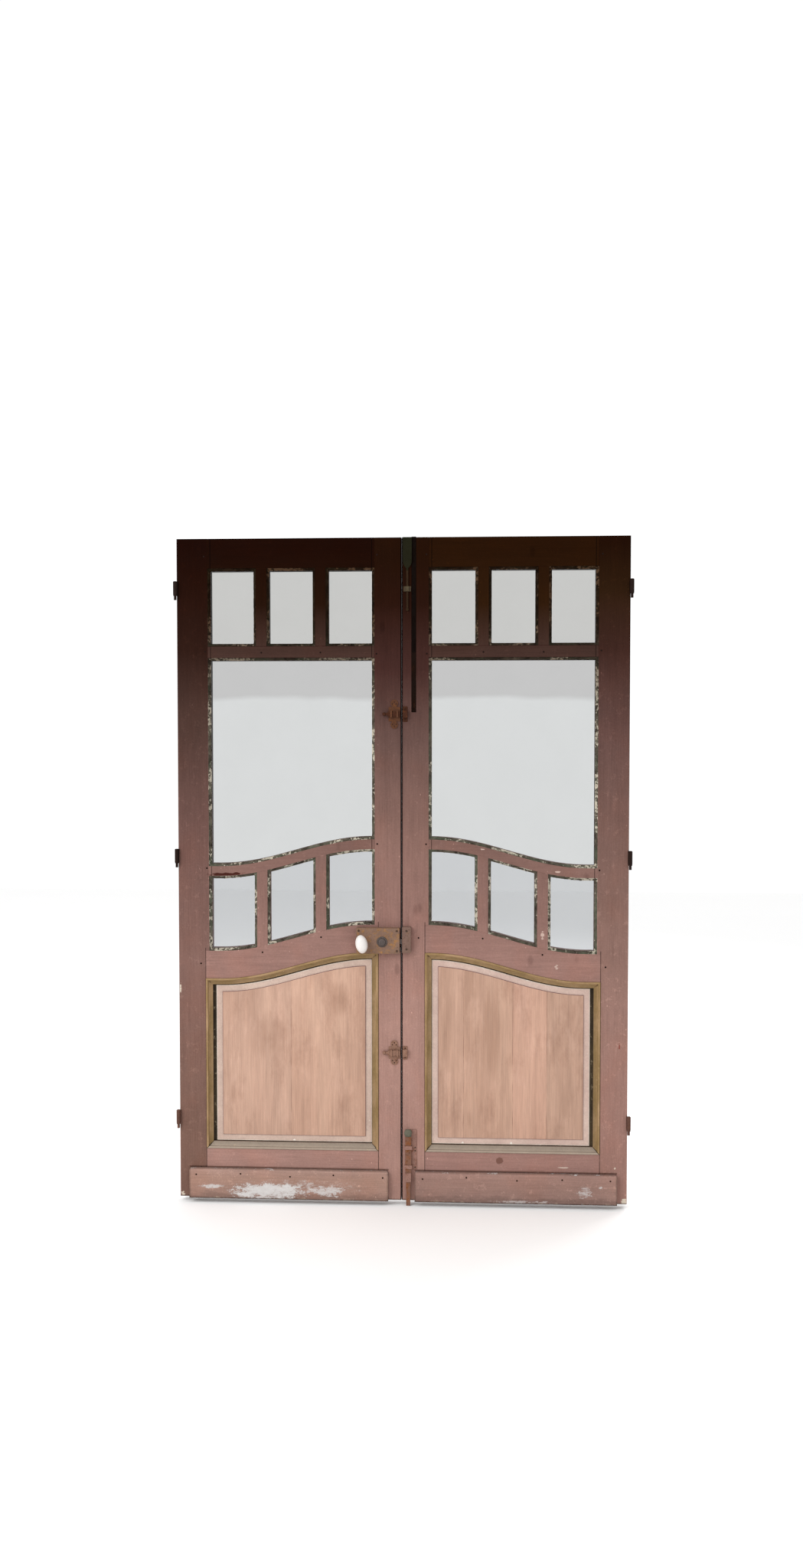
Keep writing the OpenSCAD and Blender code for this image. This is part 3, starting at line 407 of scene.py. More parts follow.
    def blob(self, patch: Patch) -> Socket:
        """Soft oval on the front, at the patch's strength in its middle and below nought outside.

        Args:
            patch: Place and size of the oval.

        Returns:
            The oval's height.
        """
        across = self.math("DIVIDE", self.minus(self.x, patch.x), patch.half_w)
        up = self.math("DIVIDE", self.minus(self.z, patch.z), patch.half_h)
        squares = self.plus(self.math("POWER", across, 2.0), self.math("POWER", up, 2.0))
        oval = self.minus(1.5 * patch.strength - 0.5, squares)
        hidden = self.band(self.y, BACK_Y - 12 * MM, BACK_Y - 10 * MM, 0.0, 9.0)
        return self.minus(oval, hidden)

    def marked(self, colour: Socket, patches: Sequence[Patch]) -> Socket:
        """Colour with patches of their own tints.

        Args:
            colour: Colour of the ground.
            patches: Patches on it.

        Returns:
            The patched colour.
        """
        if not patches:
            return colour
        torn = self.swing(self.streaks((40.0, 90.0, 150.0)), 3.0)
        for patch in patches:
            edge = self.plus(self.blob(patch), torn)
            colour = self.mix(self.band(edge, 0.2, 0.5), colour, tone(patch.tint))
        return colour


class Finish(Protocol):
    """A surface that can make its material."""

    def material(self) -> Material:
        """Builds the material."""
        ...


@lru_cache(maxsize=None)
def made(finish: Finish) -> Material:
    """Material of a finish, built once."""
    return finish.material()


@dataclass(frozen=True)
class OldPaint:
    """Mauve-brown paint over brushed wood, faded below and dark at the top of the doors, the dark top
    partly painted shade.
    """

    name: str
    height_ramp: HeightRamp
    grain: Grain
    wear: float
    patches: tuple[Patch, ...] = ()
    jointed: bool = True

    def tint(self, graph: Graph) -> Socket:
        """Colour of the paint with its streaks, blotches and flecks.

        Args:
            graph: Tree to build in.

        Returns:
            The colour output.
        """
        # Tint up the leaf: faded paint below, darker towards the top, partly as painted shade.
        paint = graph.ramp(graph.height_share(), self.height_ramp)
        streaks = graph.streaks(self.grain.value, 6.0)
        fibres = graph.streaks(tuple(4 * s for s in self.grain.value), 3.0)
        blotches = graph.noise(6.0, 5.0, 0.6)
        speckle = graph.noise(180.0, 4.0, 0.7)
        colour = graph.shaded(paint, (streaks, 0.3), (fibres, 0.3), (blotches, 0.45), (speckle, 0.35))
        warm = graph.band(graph.streaks((7.0, 7.0, 5.0), shift=(3.0, 1.0, 2.0)), 0.45, 0.7)
        colour = graph.dyed(colour, graph.both(warm, 0.5), (1.08, 0.96, 0.9))
        rare = graph.band(graph.noise(14.0, 2.0), 0.56, 0.62)
        speck = graph.band(graph.cells(graph.stretched((1.0, 1.0, 0.6)), 60.0), 0.14, 0.06)
        colour = graph.dyed(colour, graph.both(rare, speck, 0.8), (1.8, 1.9, 1.9))
        knots = graph.band(graph.cells(graph.stretched((1.0, 1.0, 0.5), (0.3, 0.1, 0.7)), 9.0), 0.12, 0.04)
        colour = graph.dyed(colour, graph.both(knots, 0.4), (0.5, 0.45, 0.45))
        scratches = graph.band(graph.noise(3.0, 5.0, 0.7, graph.stretched((26.0, 26.0, 7.0))), 0.64, 0.72)
        colour = graph.dyed(colour, graph.both(scratches, 0.6), (1.3, 1.32, 1.35))
        bare = graph.band(graph.noise(45.0, 4.0, 0.7), 0.62 - 0.2 * self.wear, 0.70)
        colour = graph.dyed(colour, graph.both(bare, self.wear), (1.7, 1.75, 1.75))
        colour = graph.marked(colour, self.patches)
        ragged = graph.noise(40.0, 6.0, 0.7)
        sole = graph.plus(graph.band(graph.z, FOOT_Z + 26 * MM, FOOT_Z, -0.4, 0.02), ragged)
        colour = graph.coated(colour, graph.band(sole, 0.5, 0.62, 0.0, 0.75), "bfa692")
        return self.grimed_and_shaded(graph, colour) if self.jointed else colour

    def grimed_and_shaded(self, graph: Graph, colour: Socket) -> Socket:
        """Colour with dirt in the joints, and painted shade, partly dirt, between the leaves, down the
        slit, above the kick boards and at the feet.

        Args:
            graph: Tree to build in.
            colour: Colour of the paint.

        Returns:
            The dirty colour.
        """
        for places, low, high in JOINTS:
            line = graph.band(graph.nearest(graph.x, places), 2.2 * MM, 0.5 * MM)
            over = graph.band(graph.z, low - 1 * MM, low)
            under = graph.band(graph.z, high + 1 * MM, high)
            colour = graph.dyed(colour, graph.both(line, graph.both(over, under)), (0.35, 0.35, 0.35))
        front = graph.band(graph.y, FRONT_Y + 5 * MM, FRONT_Y + 3 * MM)
        # Painted shade with some dirt: the front V between the leaves dyed nearly black.
        seam_shade_and_dirt = graph.band(graph.away(graph.x, SEAM_X), 4.4 * MM, 3.2 * MM)
        colour = graph.dyed(colour, graph.both(seam_shade_and_dirt, front), (0.06, 0.04, 0.04))
        # Painted shade on the walls of the slit between the leaves, deep inside the leaf.
        slit = graph.band(graph.away(graph.x, SEAM_X), 1.2 * MM, 0.8 * MM)
        depth = graph.band(graph.y, BACK_Y - 8 * MM, BACK_Y - 24 * MM)
        colour = graph.dyed(colour, graph.both(slit, depth), (0.08, 0.06, 0.06))
        # Painted shade, with some dirt, at the foot: the lowest few millimetres darkened against the
        # floor's bounce light.
        colour = graph.scaled(colour, graph.band(graph.z, FOOT_Z + 1 * MM, FOOT_Z + 7 * MM, 0.4, 1.0))
        # Painted shade with dirt in a line on the leaf just above the kick boards.
        along = graph.band(graph.nearest(graph.x, KICKS_X), KICK_HALF_W + 2 * MM, KICK_HALF_W)
        above = graph.band(graph.away(graph.z, KICK_TOP + 1 * MM), 4.0 * MM, 1.5 * MM)
        return graph.dyed(colour, graph.both(along, above, front), (0.5, 0.46, 0.44))

    def material(self) -> Material:
        """Builds the paint.

        Returns:
            The paint's material.
        """
        graph = Graph(self.name)
        colour = self.tint(graph)
        streaks = graph.noise(1.6, 6.0, 0.65, graph.stretched(self.grain.value, (0.4, 0.2, 0.9)))
        rough = graph.band(graph.noise(12.0), 0.3, 0.7, 0.55, 0.75)
        return graph.surface(colour, rough, graph.bump(streaks, 0.9 * MM), Specular_IOR_Level=0.015)


@dataclass(frozen=True)
class PanelWood:
    """Raw boards of a panel's field, glued edge to edge, with upright grain and rubbed stains."""

    name: str
    tints: tuple[str, str, str]
    joints: tuple[tuple[float, Triple], ...]
    stains: tuple[Patch, ...]

    def material(self) -> Material:
        """Builds the wood: each joint has its place and the dye of what lies beyond it.

        Returns:
            The wood's material.
        """
        graph = Graph(self.name)
        bands = graph.streaks((13.0, 13.0, 1.1), 4.0)
        grain = graph.streaks((120.0, 120.0, 3.0), 5.0, 0.6)
        pores = graph.streaks((480.0, 480.0, 14.0), 2.0)
        colour = graph.ramp(bands, list(zip((0.2, 0.52, 0.9), self.tints)))
        smears = graph.streaks((9.0, 9.0, 4.0), 7.0, 0.7, (5.0, 2.0, 1.0))
        colour = graph.coated(colour, graph.band(smears, 0.48, 0.68, 0.0, 0.38), "99725f")
        pale = graph.streaks((14.0, 14.0, 5.0), 7.0, 0.7, (1.0, 7.0, 4.0))
        colour = graph.coated(colour, graph.band(pale, 0.5, 0.7, 0.0, 0.42), "d9b39f")
        strands = graph.streaks((48.0, 48.0, 5.0), 6.0, 0.65, (2.0, 3.0, 8.0))
        colour = graph.shaded(colour, (grain, 0.36), (pores, 0.34), (strands, 0.45))
        streaky = graph.swing(strands, 2.6)
        for stain in self.stains:
            depth = graph.band(graph.plus(graph.blob(stain), streaky), 0.0, 1.0, 0.0, 0.55)
            colour = graph.dyed(colour, depth, (0.62, 0.56, 0.52))
        for joint, dye in self.joints:
            colour = graph.dyed(colour, graph.band(graph.x, joint - 0.3 * MM, joint + 0.3 * MM), dye)
            line = graph.band(graph.away(graph.x, joint), 1.6 * MM, 0.4 * MM)
            gaps = graph.band(graph.streaks((1.0, 1.0, 9.0), 3.0), 0.38, 0.6)
            colour = graph.coated(colour, graph.both(line, gaps, 0.6), "7d5a4a")
        height = graph.plus(grain, graph.both(pores, 0.4))
        return graph.surface(colour, 0.7, graph.bump(height, 0.6 * MM), Specular_IOR_Level=0.15)


@dataclass(frozen=True)
class RubbedPaint:
    """Paint rubbed thin, in two tints with bare flecks, for the margins, lines and mouldings."""

    name: str
    tints: tuple[str, str]
    bare: str
    bareness: float
    foot: str | None = None
    foot_z: float = 0.0
    ends_x: tuple[float, float] = (0.0, 0.0)
    shaded_crease_y: float | None = None
    patches: tuple[Patch, ...] = ()

    def material(self) -> Material:
        """Builds the rubbed paint.

        Returns:
            The paint's material.
        """
        graph = Graph(self.name)
        patches = graph.streaks((9.0, 60.0, 7.0), 6.0, 0.65)
        colour = graph.mix(graph.band(patches, 0.35, 0.68), tone(self.tints[0]), tone(self.tints[1]))
        if self.foot is not None:
            colour = self.footed(graph, colour, tone(self.foot))
        fine = graph.noise(160.0, 4.0)
        colour = graph.shaded(colour, (fine, 0.35), (graph.noise(25.0), 0.3))
        flecks = graph.band(graph.noise(70.0, 4.0, 0.7), 0.70 - 0.25 * self.bareness, 0.74)
        colour = graph.coated(colour, graph.both(flecks, 0.8), self.bare)
        colour = graph.marked(colour, self.patches)
        # Painted shade in the quirk at the crease and deeper in the hollow behind it.
        if self.shaded_crease_y is not None:
            quirk_shade = graph.band(graph.away(graph.y, self.shaded_crease_y), 0.2 * MM, 1.5 * MM, 0.4, 1.0)
            colour = graph.scaled(colour, graph.both(
                quirk_shade, graph.band(graph.y, self.shaded_crease_y + 4 * MM, self.shaded_crease_y + 9 * MM, 1.0, 0.82)))
        return graph.surface(colour, 0.66, graph.bump(fine, 0.4 * MM), Specular_IOR_Level=0.15)

    def footed(self, graph: Graph, colour: Socket, foot: Colour) -> Socket:
        """Colour with another tint on the lowest strip, and dirt in its two mitres.

        Args:
            graph: Tree to build in.
            colour: Colour of the other strips.
            foot: Colour of the lowest strip.

        Returns:
            The colour of all strips.
        """
        left, right = self.ends_x
        inset = graph.math("MINIMUM", graph.minus(graph.x, left), graph.minus(right, graph.x))
        past = graph.minus(graph.minus(graph.z, self.foot_z), inset)
        colour = graph.mix(graph.band(past, 0.5 * MM, -0.5 * MM), colour, foot)
        corner = graph.band(inset, MOULD_W + 1 * MM, MOULD_W)
        mitre = graph.band(graph.away(past, 0.0), 2.4 * MM, 0.8 * MM)
        return graph.dyed(colour, graph.both(mitre, corner), (0.25, 0.22, 0.2))


@dataclass(frozen=True)
class KickPaint:
    """Kick-board paint, worn to the white ground coat in patches and along its lower edge, with painted
    shade at its foot, towards the leaf and along its ends and top.
    """

    name: str
    height_ramp: HeightRamp
    patches: tuple[Patch, ...]

    def material(self) -> Material:
        """Builds the worn paint.

        Returns:
            The paint's material.
        """
        graph = Graph(self.name)
        paint = OldPaint(self.name, self.height_ramp, Grain.LEVEL, 0.35, jointed=False)
        colour = paint.tint(graph)
        chips = graph.streaks((26.0, 60.0, 60.0), 7.0, 0.72)
        dirt = graph.plus(graph.band(graph.z, FOOT_Z + 45 * MM, FOOT_Z, -0.2, 0.3), chips)
        colour = graph.dyed(colour, graph.band(dirt, 0.45, 0.75, 0.0, 0.6), (0.62, 0.62, 0.62))
        # Dirt and painted shade along the board's ends and its top edge.
        beside = graph.nearest(graph.x, KICKS_X)
        outline = graph.either(graph.band(beside, KICK_HALF_W - 7 * MM, KICK_HALF_W - 1 * MM),
                               graph.band(graph.z, KICK_TOP - 6 * MM, KICK_TOP))
        colour = graph.dyed(colour, graph.both(outline, chips, 1.4), (0.45, 0.45, 0.43))
        fine = graph.streaks((150.0, 230.0, 230.0), 6.0, 0.75)
        ragged = graph.plus(graph.swing(chips, 4.5), graph.swing(fine, 3.2))
        worn: Number = 0.0
        for patch in self.patches:
            edge = graph.plus(graph.blob(patch), ragged)
            worn = graph.either(worn, graph.both(graph.band(edge, -0.3, 0.6), patch.strength))
        rim = graph.band(graph.z, KICK_TOP - 9 * MM, KICK_TOP - 2 * MM, -2.4, -0.15)
        sole = graph.band(graph.z, FOOT_Z + 14 * MM, FOOT_Z, -2.4, -0.05)
        ends = graph.band(graph.plus(graph.either(rim, sole), ragged), 0.1, 0.6)
        worn = graph.either(worn, graph.both(ends, 0.6))
        white = graph.shaded(graph.mix(fine, tone("e4e3e2"), tone("c8c0bc")), (chips, 0.3))
        colour = graph.mix(worn, colour, white)
        # Painted shade: darker towards the leaf and over the lowest few millimetres.
        colour = graph.scaled(colour, graph.both(
            graph.band(graph.y, FRONT_Y - 7 * MM, FRONT_Y - 2 * MM, 1.0, 0.35),
            graph.band(graph.z, FOOT_Z + 1 * MM, FOOT_Z + 6 * MM, 0.35, 1.0)))
        height = graph.minus(chips, graph.both(worn, 0.5))
        return graph.surface(colour, 0.68, graph.bump(height, 0.9 * MM), Specular_IOR_Level=0.15)


@dataclass(frozen=True)
class OldPutty:
    """Dry linseed putty, grey-green with dirt, broken to cream where it has chipped."""

    name: str

    def material(self) -> Material:
        """Builds the putty.

        Returns:
            The putty's material.
        """
        graph = Graph(self.name)
        dirt = graph.noise(38.0, 6.0, 0.65)
        colour = graph.ramp(dirt, [(0.3, "2a241e"), (0.5, "554e44"), (0.72, "7c7566")])
        green = graph.band(graph.noise(16.0), 0.48, 0.62)
        colour = graph.coated(colour, graph.both(green, 0.5), "58604f")
        broken = graph.noise(85.0, 5.0, 0.72)
        runs = graph.band(graph.noise(9.0, 3.0), 0.42, 0.60, 0.0, 0.17)
        chips = graph.band(graph.plus(broken, runs), 0.635, 0.69)
        colour = graph.coated(colour, graph.both(chips, 0.85), "cfc5b2")
        # Darker towards the top of the doors, partly painted shade.
        colour = graph.dyed(colour, graph.band(graph.height_share(), 0.66, 0.9), (0.16, 0.1, 0.07))
        return graph.surface(colour, 0.85, graph.bump(broken, 1.2 * MM), Specular_IOR_Level=0.015)


@dataclass(frozen=True)
class OldGlass:
    """Drawn window glass, grey-blue and a little wavy, with a painted reflection as a greyer band below the
    rail above it.
    """

    name: str
    clear: str
    reflected: str
    reflection_z: float

    def material(self) -> Material:
        """Builds the glass.

        Returns:
            The glass's material.
        """
        graph = Graph(self.name)
        smear = graph.noise(7.0, 4.0)
        wave = graph.streaks((4.0, 4.0, 6.0), 2.0)
        border = graph.plus(graph.z, graph.swing(wave, 0.03))
        # Painted reflection: the glass greyer above a wavy line.
        reflection = graph.band(border, self.reflection_z - 12 * MM, self.reflection_z + 12 * MM)
        colour = graph.mix(reflection, tone(self.clear, 1.0), tone(self.reflected, 1.0))
        colour = graph.shaded(colour, (smear, 0.06))
        relief = graph.bump(wave, 1.0 * MM, 0.15)
        return graph.surface(colour, 0.03, relief, Transmission_Weight=1.0, IOR=1.5)


@dataclass(frozen=True)
class OldIron:
    """Iron or steel in three tints, pitted and blotched with rust or the rest of a paint."""

    name: str
    pit: str
    base: str
    bloom: str
    blooming: float
    metal: float
    rough: float = 0.7
    scale: float = 60.0
    above: tuple[float, str] | None = None

    def material(self) -> Material:
        """Builds the metal.

        Returns:
            The metal's material.
        """
        graph = Graph(self.name)
        blotches = graph.noise(self.scale, 6.0, 0.65)
        bloom = graph.band(blotches, 0.62 - 0.25 * self.blooming, 0.74)
        colour = graph.mix(bloom, tone(self.base), tone(self.bloom))
        if self.above is not None:
            height, tint = self.above
            colour = graph.coated(colour, graph.band(graph.z, height - 2 * MM, height + 2 * MM), tint)
        pits = graph.noise(self.scale * 4, 5.0, 0.7)
        colour = graph.coated(colour, graph.both(graph.band(pits, 0.54, 0.70), 0.8), self.pit)
        colour = graph.shaded(colour, (graph.noise(self.scale * 0.35), 0.55))
        # Painted contact shade: the metal darker where it meets the face of the leaf.
        contact_shade = graph.band(graph.away(graph.y, FRONT_Y), 0.4 * MM, 2.0 * MM, 0.3, 1.0)
        colour = graph.scaled(colour, contact_shade)
        rough = graph.band(blotches, 0.3, 0.7, self.rough - 0.12, self.rough + 0.12)
        height = graph.plus(blotches, graph.both(pits, 0.5))
        relief = graph.bump(height, 0.8 * MM)
        return graph.surface(colour, rough, relief, Metallic=self.metal, Specular_IOR_Level=0.05)


@dataclass(frozen=True)
class Porcelain:
    """White glazed porcelain with fine crazing and a little grime."""

    name: str

    def material(self) -> Material:
        """Builds the porcelain.

        Returns:
            The porcelain's material.
        """
        graph = Graph(self.name)
        crackle = graph.band(graph.cells(graph.place, 170.0, "DISTANCE_TO_EDGE"), 0.035, 0.0)
        grime = graph.band(graph.noise(55.0, 5.0, 0.65), 0.55, 0.85, 0.0, 0.5)
        colour = graph.mix(graph.both(crackle, 0.12), tone("dad5d1", 1.0), tone("9b8f84"))
        colour = graph.coated(colour, grime, "d6cfc6", 1.1)
        rough = graph.band(grime, 0.0, 0.5, 0.12, 0.3)
        return graph.surface(colour, rough, Coat_Weight=0.4, Coat_Roughness=0.06)


# Tints up each leaf from foot to top: faded paint below, darker towards the top, partly painted shade.
HINGE_FADE_AND_SHADE_LEFT: HeightRamp = (
    (0.08, "7b5e53"), (0.36, "80625a"), (0.57, "6b4f49"), (0.71, "4c3731"), (0.83, "2b1812"),
    (0.92, "210d06"), (0.99, "190602"))
HINGE_FADE_AND_SHADE_RIGHT: HeightRamp = (
    (0.12, "9c786e"), (0.30, "99776d"), (0.44, "86685f"), (0.71, "634944"), (0.83, "3d2620"),
    (0.92, "2c1a0c"), (0.99, "1f0c03"))
MIDDLE_FADE_AND_SHADE: HeightRamp = (
    (0.10, "ab867b"), (0.27, "a98479"), (0.42, "96736a"), (0.55, "88685f"), (0.69, "684f49"),
    (0.80, "432a26"), (0.90, "27120a"), (0.97, "210e04"))
RAIL_FADE_AND_SHADE_LEFT: HeightRamp = (
    (0.04, "a8847a"), (0.37, "99766d"), (0.52, "80625a"), (0.83, "432f29"), (0.90, "221006"),
    (0.98, "1a0702"))
RAIL_FADE_AND_SHADE_RIGHT: HeightRamp = (
    (0.04, "9e7a71"), (0.37, "99766d"), (0.52, "80625a"), (0.83, "432f29"), (0.90, "2c1808"),
    (0.98, "251104"))

HINGE_IRON = OldIron("hinge_iron", "17100e", "66493f", "7d5240", 0.5, 0.1, above=(0.5, "281c18"))
BOTTOM_IRON = OldIron(
    "bottom_iron", "24130b", "846050", "905528", 0.75, 0.05, 0.8, 48.0, (-0.024, "6c6a5c"))
PLATE_PAINT = OldIron("plate_paint", "432a20", "9c776b", "7f4f38", 0.55, 0.0, 0.75, 60.0)
CATCH_RUST = OldIron("catch_rust", "20110a", "5a3b2b", "74482b", 0.5, 0.05, 0.8, 120.0)
DARK_RUST = OldIron("dark_rust", "150b07", "46291d", "683c24", 0.5, 0.1, 0.78, 90.0)
# Darker above 1.62 m, like the top of the doors, partly painted shade.
DARK_TOP_IRON = OldIron("dark_top_iron", "0a0503", "2c190f", "4a2a18", 0.4, 0.05, 0.8, 40.0, (1.62, "1c0e07"))
LOCK_RUST = OldIron("lock_rust", "4c3421", "876b5b", "ad7d4a", 0.6, 0.1, 0.72, 80.0)
KEEPER_RUST = OldIron("keeper_rust", "4a362c", "7e6459", "866650", 0.4, 0.1, 0.74)
GREY_STEEL = OldIron("grey_steel", "2e2826", "605754", "6e5a4c", 0.3, 0.55, 0.5)
GREEN_IRON = OldIron("green_iron", "0b0806", "2f2013", "3a2a1a", 0.4, 0.05, 0.7, above=(1.893, "1d1c0e"))
GUIDE_IRON = OldIron("guide_iron", "1c1710", "4a4030", "59503c", 0.4, 0.1, 0.7)
PAINTED_IRON = OldIron("painted_iron", "38231b", "93705f", "7b5341", 0.55, 0.0, 0.72, 110.0)
SCREW_STEEL = OldIron("screw_steel", "241c18", "54443a", "6c4f3c", 0.5, 0.4, 0.6, 140.0)
NAIL_IRON = OldIron("nail_iron", "1c1310", "3a2822", "54392c", 0.5, 0.2, 0.75, 160.0)
PORCELAIN = Porcelain("porcelain")
PUTTY = OldPutty("old_putty")


def deselect() -> None:
    """Clears the selection of objects."""
    bpy.ops.object.select_all(action="DESELECT")


def take(piece: Object) -> None:
    """Makes a piece the only selected one, and the active one.

    Args:
        piece: Piece to take.
    """
    deselect()
    piece.select_set(True)
    bpy.context.view_layer.objects.active = piece


def link(piece: Object) -> Object:
    """Puts a new object into the scene."""
    bpy.context.scene.collection.objects.link(piece)
    return piece


@contextmanager
def editing(piece: Object, mode: str = "FACE") -> Iterator[None]:
    """Edit mode on one piece, with its marked faces or edges selected.

    Args:
        piece: Piece to edit.
        mode: What is selected, FACE, EDGE or VERT.

    Yields:
        Nothing.
    """
    take(piece)
    bpy.context.tool_settings.mesh_select_mode = tuple(mode == kind for kind in ("VERT", "EDGE", "FACE"))
    bpy.ops.object.mode_set(mode="EDIT")
    try:
        yield
    finally:
        bpy.ops.object.mode_set(mode="OBJECT")


def bevel_edges(piece: Object, wanted: Callable[[Vector, Vector], bool], **options: float) -> None:
    """Bevels some edges of a piece.

    Args:
        piece: Piece whose edges are bevelled.
        wanted: Says from an edge's two ends whether it is one of them.
        options: Width and kind of the bevel.
    """
    mesh = piece.data
    for part in (*mesh.vertices, *mesh.polygons):
        part.select = False
    for edge in mesh.edges:
        edge.select = wanted(*(mesh.vertices[i].co for i in edge.vertices))
    with editing(piece, "EDGE"):
        bpy.ops.mesh.bevel(**options)


def apply_modifier(piece: Object, name: str) -> None:
    """Applies one modifier to a piece's mesh."""
    take(piece)
    bpy.ops.object.modifier_apply(modifier=name)


def settle(piece: Object) -> None:
    """Puts a piece's place, turn and scale into its mesh."""
    take(piece)
    bpy.ops.object.transform_apply(location=True, rotation=True, scale=True)


def smooth(piece: Object, degrees: float) -> None:
    """Shades a piece smooth, apart from edges that are sharper than an angle."""
    take(piece)
    bpy.ops.object.shade_smooth_by_angle(angle=math.radians(degrees))


def merged_copy(node: str, name: str) -> Object:
    """A new piece with the merged mesh of a CAD node, its flat faces whole again.

    Args:
        node: Name of the CAD node.
        name: Name of the piece.

    Returns:
        The piece.
    """
    piece = link(bpy.data.objects.new(name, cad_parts[node].data.copy()))
    piece.data.materials.clear()
    take(piece)
    bpy.ops.mesh.customdata_custom_splitnormals_clear()
    with editing(piece):
        bpy.ops.mesh.select_all(action="SELECT")
        bpy.ops.mesh.remove_doubles(threshold=MERGE)
        bpy.ops.mesh.dissolve_limited(angle_limit=math.radians(0.1))
        bpy.ops.mesh.select_all(action="DESELECT")
    return piece


def hand_over(piece: Object, body: str, slot: str, *nodes: str) -> None:
    """Gives a finished piece its body and hides the nodes that it stands for.

    Args:
        piece: Finished piece.
        body: Body that it moves with.
        slot: Material slot of the record, not used.
        nodes: CAD nodes that it replaces.
    """
    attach(piece, body)
    if nodes:
        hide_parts(*nodes)
    LOG.info("%s rides on %s", piece.name, body)


def weld(piece: Object) -> None:
    """Joins a node's loose triangles by a live modifier."""
    modifier = piece.modifiers.new("weld", "WELD")
    modifier.merge_threshold = MERGE


def dress(node: str, finish: Finish, arris: float = 0.0, worn: Finish | None = None) -> Object:
    """Gives a CAD node its finish and softened edges.

    Args:
        node: Name of the CAD node.
        finish: Finish of its faces.
        arris: Width of the softened edges, or nought.
        worn: Finish of the softened edges.

    Returns:
        The node's object.
    """
    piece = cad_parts[node]
    piece.data.materials.clear()
    piece.data.materials.append(made(finish))
    if arris:
        weld(piece)
        bevel = piece.modifiers.new("arris", "BEVEL")
        bevel.width = arris
        bevel.segments = 2
        bevel.limit_method = "ANGLE"
        bevel.angle_limit = math.radians(35)
        if worn is not None:
            piece.data.materials.append(made(worn))
            bevel.material = 1
        piece.modifiers.new("even", "WEIGHTED_NORMAL")
    LOG.info("%s dressed in %s", node, made(finish).name)
    return piece


@dataclass
class Fixing:
    """A screw or nail head, modelled once and copied to its places.

    The crown and the slot's depth are shares of the height, and the slot's width is a share of the radius.
    """

    radius: float
    height: float
    finish: Finish
    slotted: bool = False
    sides: int = 20
    crown: float = 0.8
    slot_w: float = 0.26
    slot_depth: float = 0.45
    turn_between: float = math.radians(137.5)

    def model(self) -> Object:
        """Models one head at the origin, facing up.

        Returns:
            The pattern, which is removed after the copies are made.
        """
        deselect()
        bpy.ops.mesh.primitive_cylinder_add(
            vertices=self.sides, radius=self.radius, depth=self.height, location=(0, 0, self.height / 2))
        head = bpy.context.object
        settle(head)
        top = self.height - MERGE
        bevel_edges(head, lambda a, b: a.z > top and b.z > top,
                    offset=self.height * self.crown, segments=3, profile=0.6)
        if self.slotted:
            self.cut_slot(head)
        head.data.materials.append(made(self.finish))
        smooth(head, degrees=50)
        return head

    def cut_slot(self, head: Object) -> None:
        """Cuts the driver's slot across a head.

        Args:
            head: Head to cut.
        """
        deselect()
        bpy.ops.mesh.primitive_cube_add(size=1.0, location=(0, 0, self.height))
        blade = bpy.context.object
        blade.scale = (self.radius * 3, self.radius * self.slot_w, 2 * self.height * self.slot_depth)
        settle(blade)
        cut = head.modifiers.new("slot", "BOOLEAN")
        cut.operation = "DIFFERENCE"
        cut.object = blade
        apply_modifier(head, "slot")
        bpy.data.objects.remove(blade)

    def drive(
            self, name: str, body: str, slot: str, places: Sequence[Triple],
            facing: Facing = Facing.FRONT) -> None:
        """Copies the head to its places as one group of separate heads, and hands the group over.

        Args:
            name: Name of the group.
            body: Body that it moves with.
            slot: Material slot of the record.
            places: Points on the surfaces that the heads stand on.
            facing: Way that the heads look.
        """
        pattern = self.model()
        heads = []
        for index, place in enumerate(places):
            head = link(bpy.data.objects.new(f"{name}_{index}", pattern.data.copy()))
            spin = Matrix.Rotation(self.turn_between * (index + 1), 4, "Z")
            head.data.transform(Matrix.Translation(place) @ facing.turn() @ spin)
            heads.append(head)
        bpy.data.objects.remove(pattern)
        take(heads[0])
        for head in heads:
            head.select_set(True)
        bpy.ops.object.join()
        heads[0].name = name
        hand_over(heads[0], body, slot)


SCREW = Fixing(3.6 * MM, 1.5 * MM, SCREW_STEEL, slotted=True)
SMALL_SCREW = Fixing(2.6 * MM, 1.1 * MM, SCREW_STEEL, slotted=True)
NAIL = Fixing(3.0 * MM, 0.7 * MM, NAIL_IRON, sides=14)
PIN = Fixing(2.0 * MM, 0.8 * MM, NAIL_IRON, sides=12)


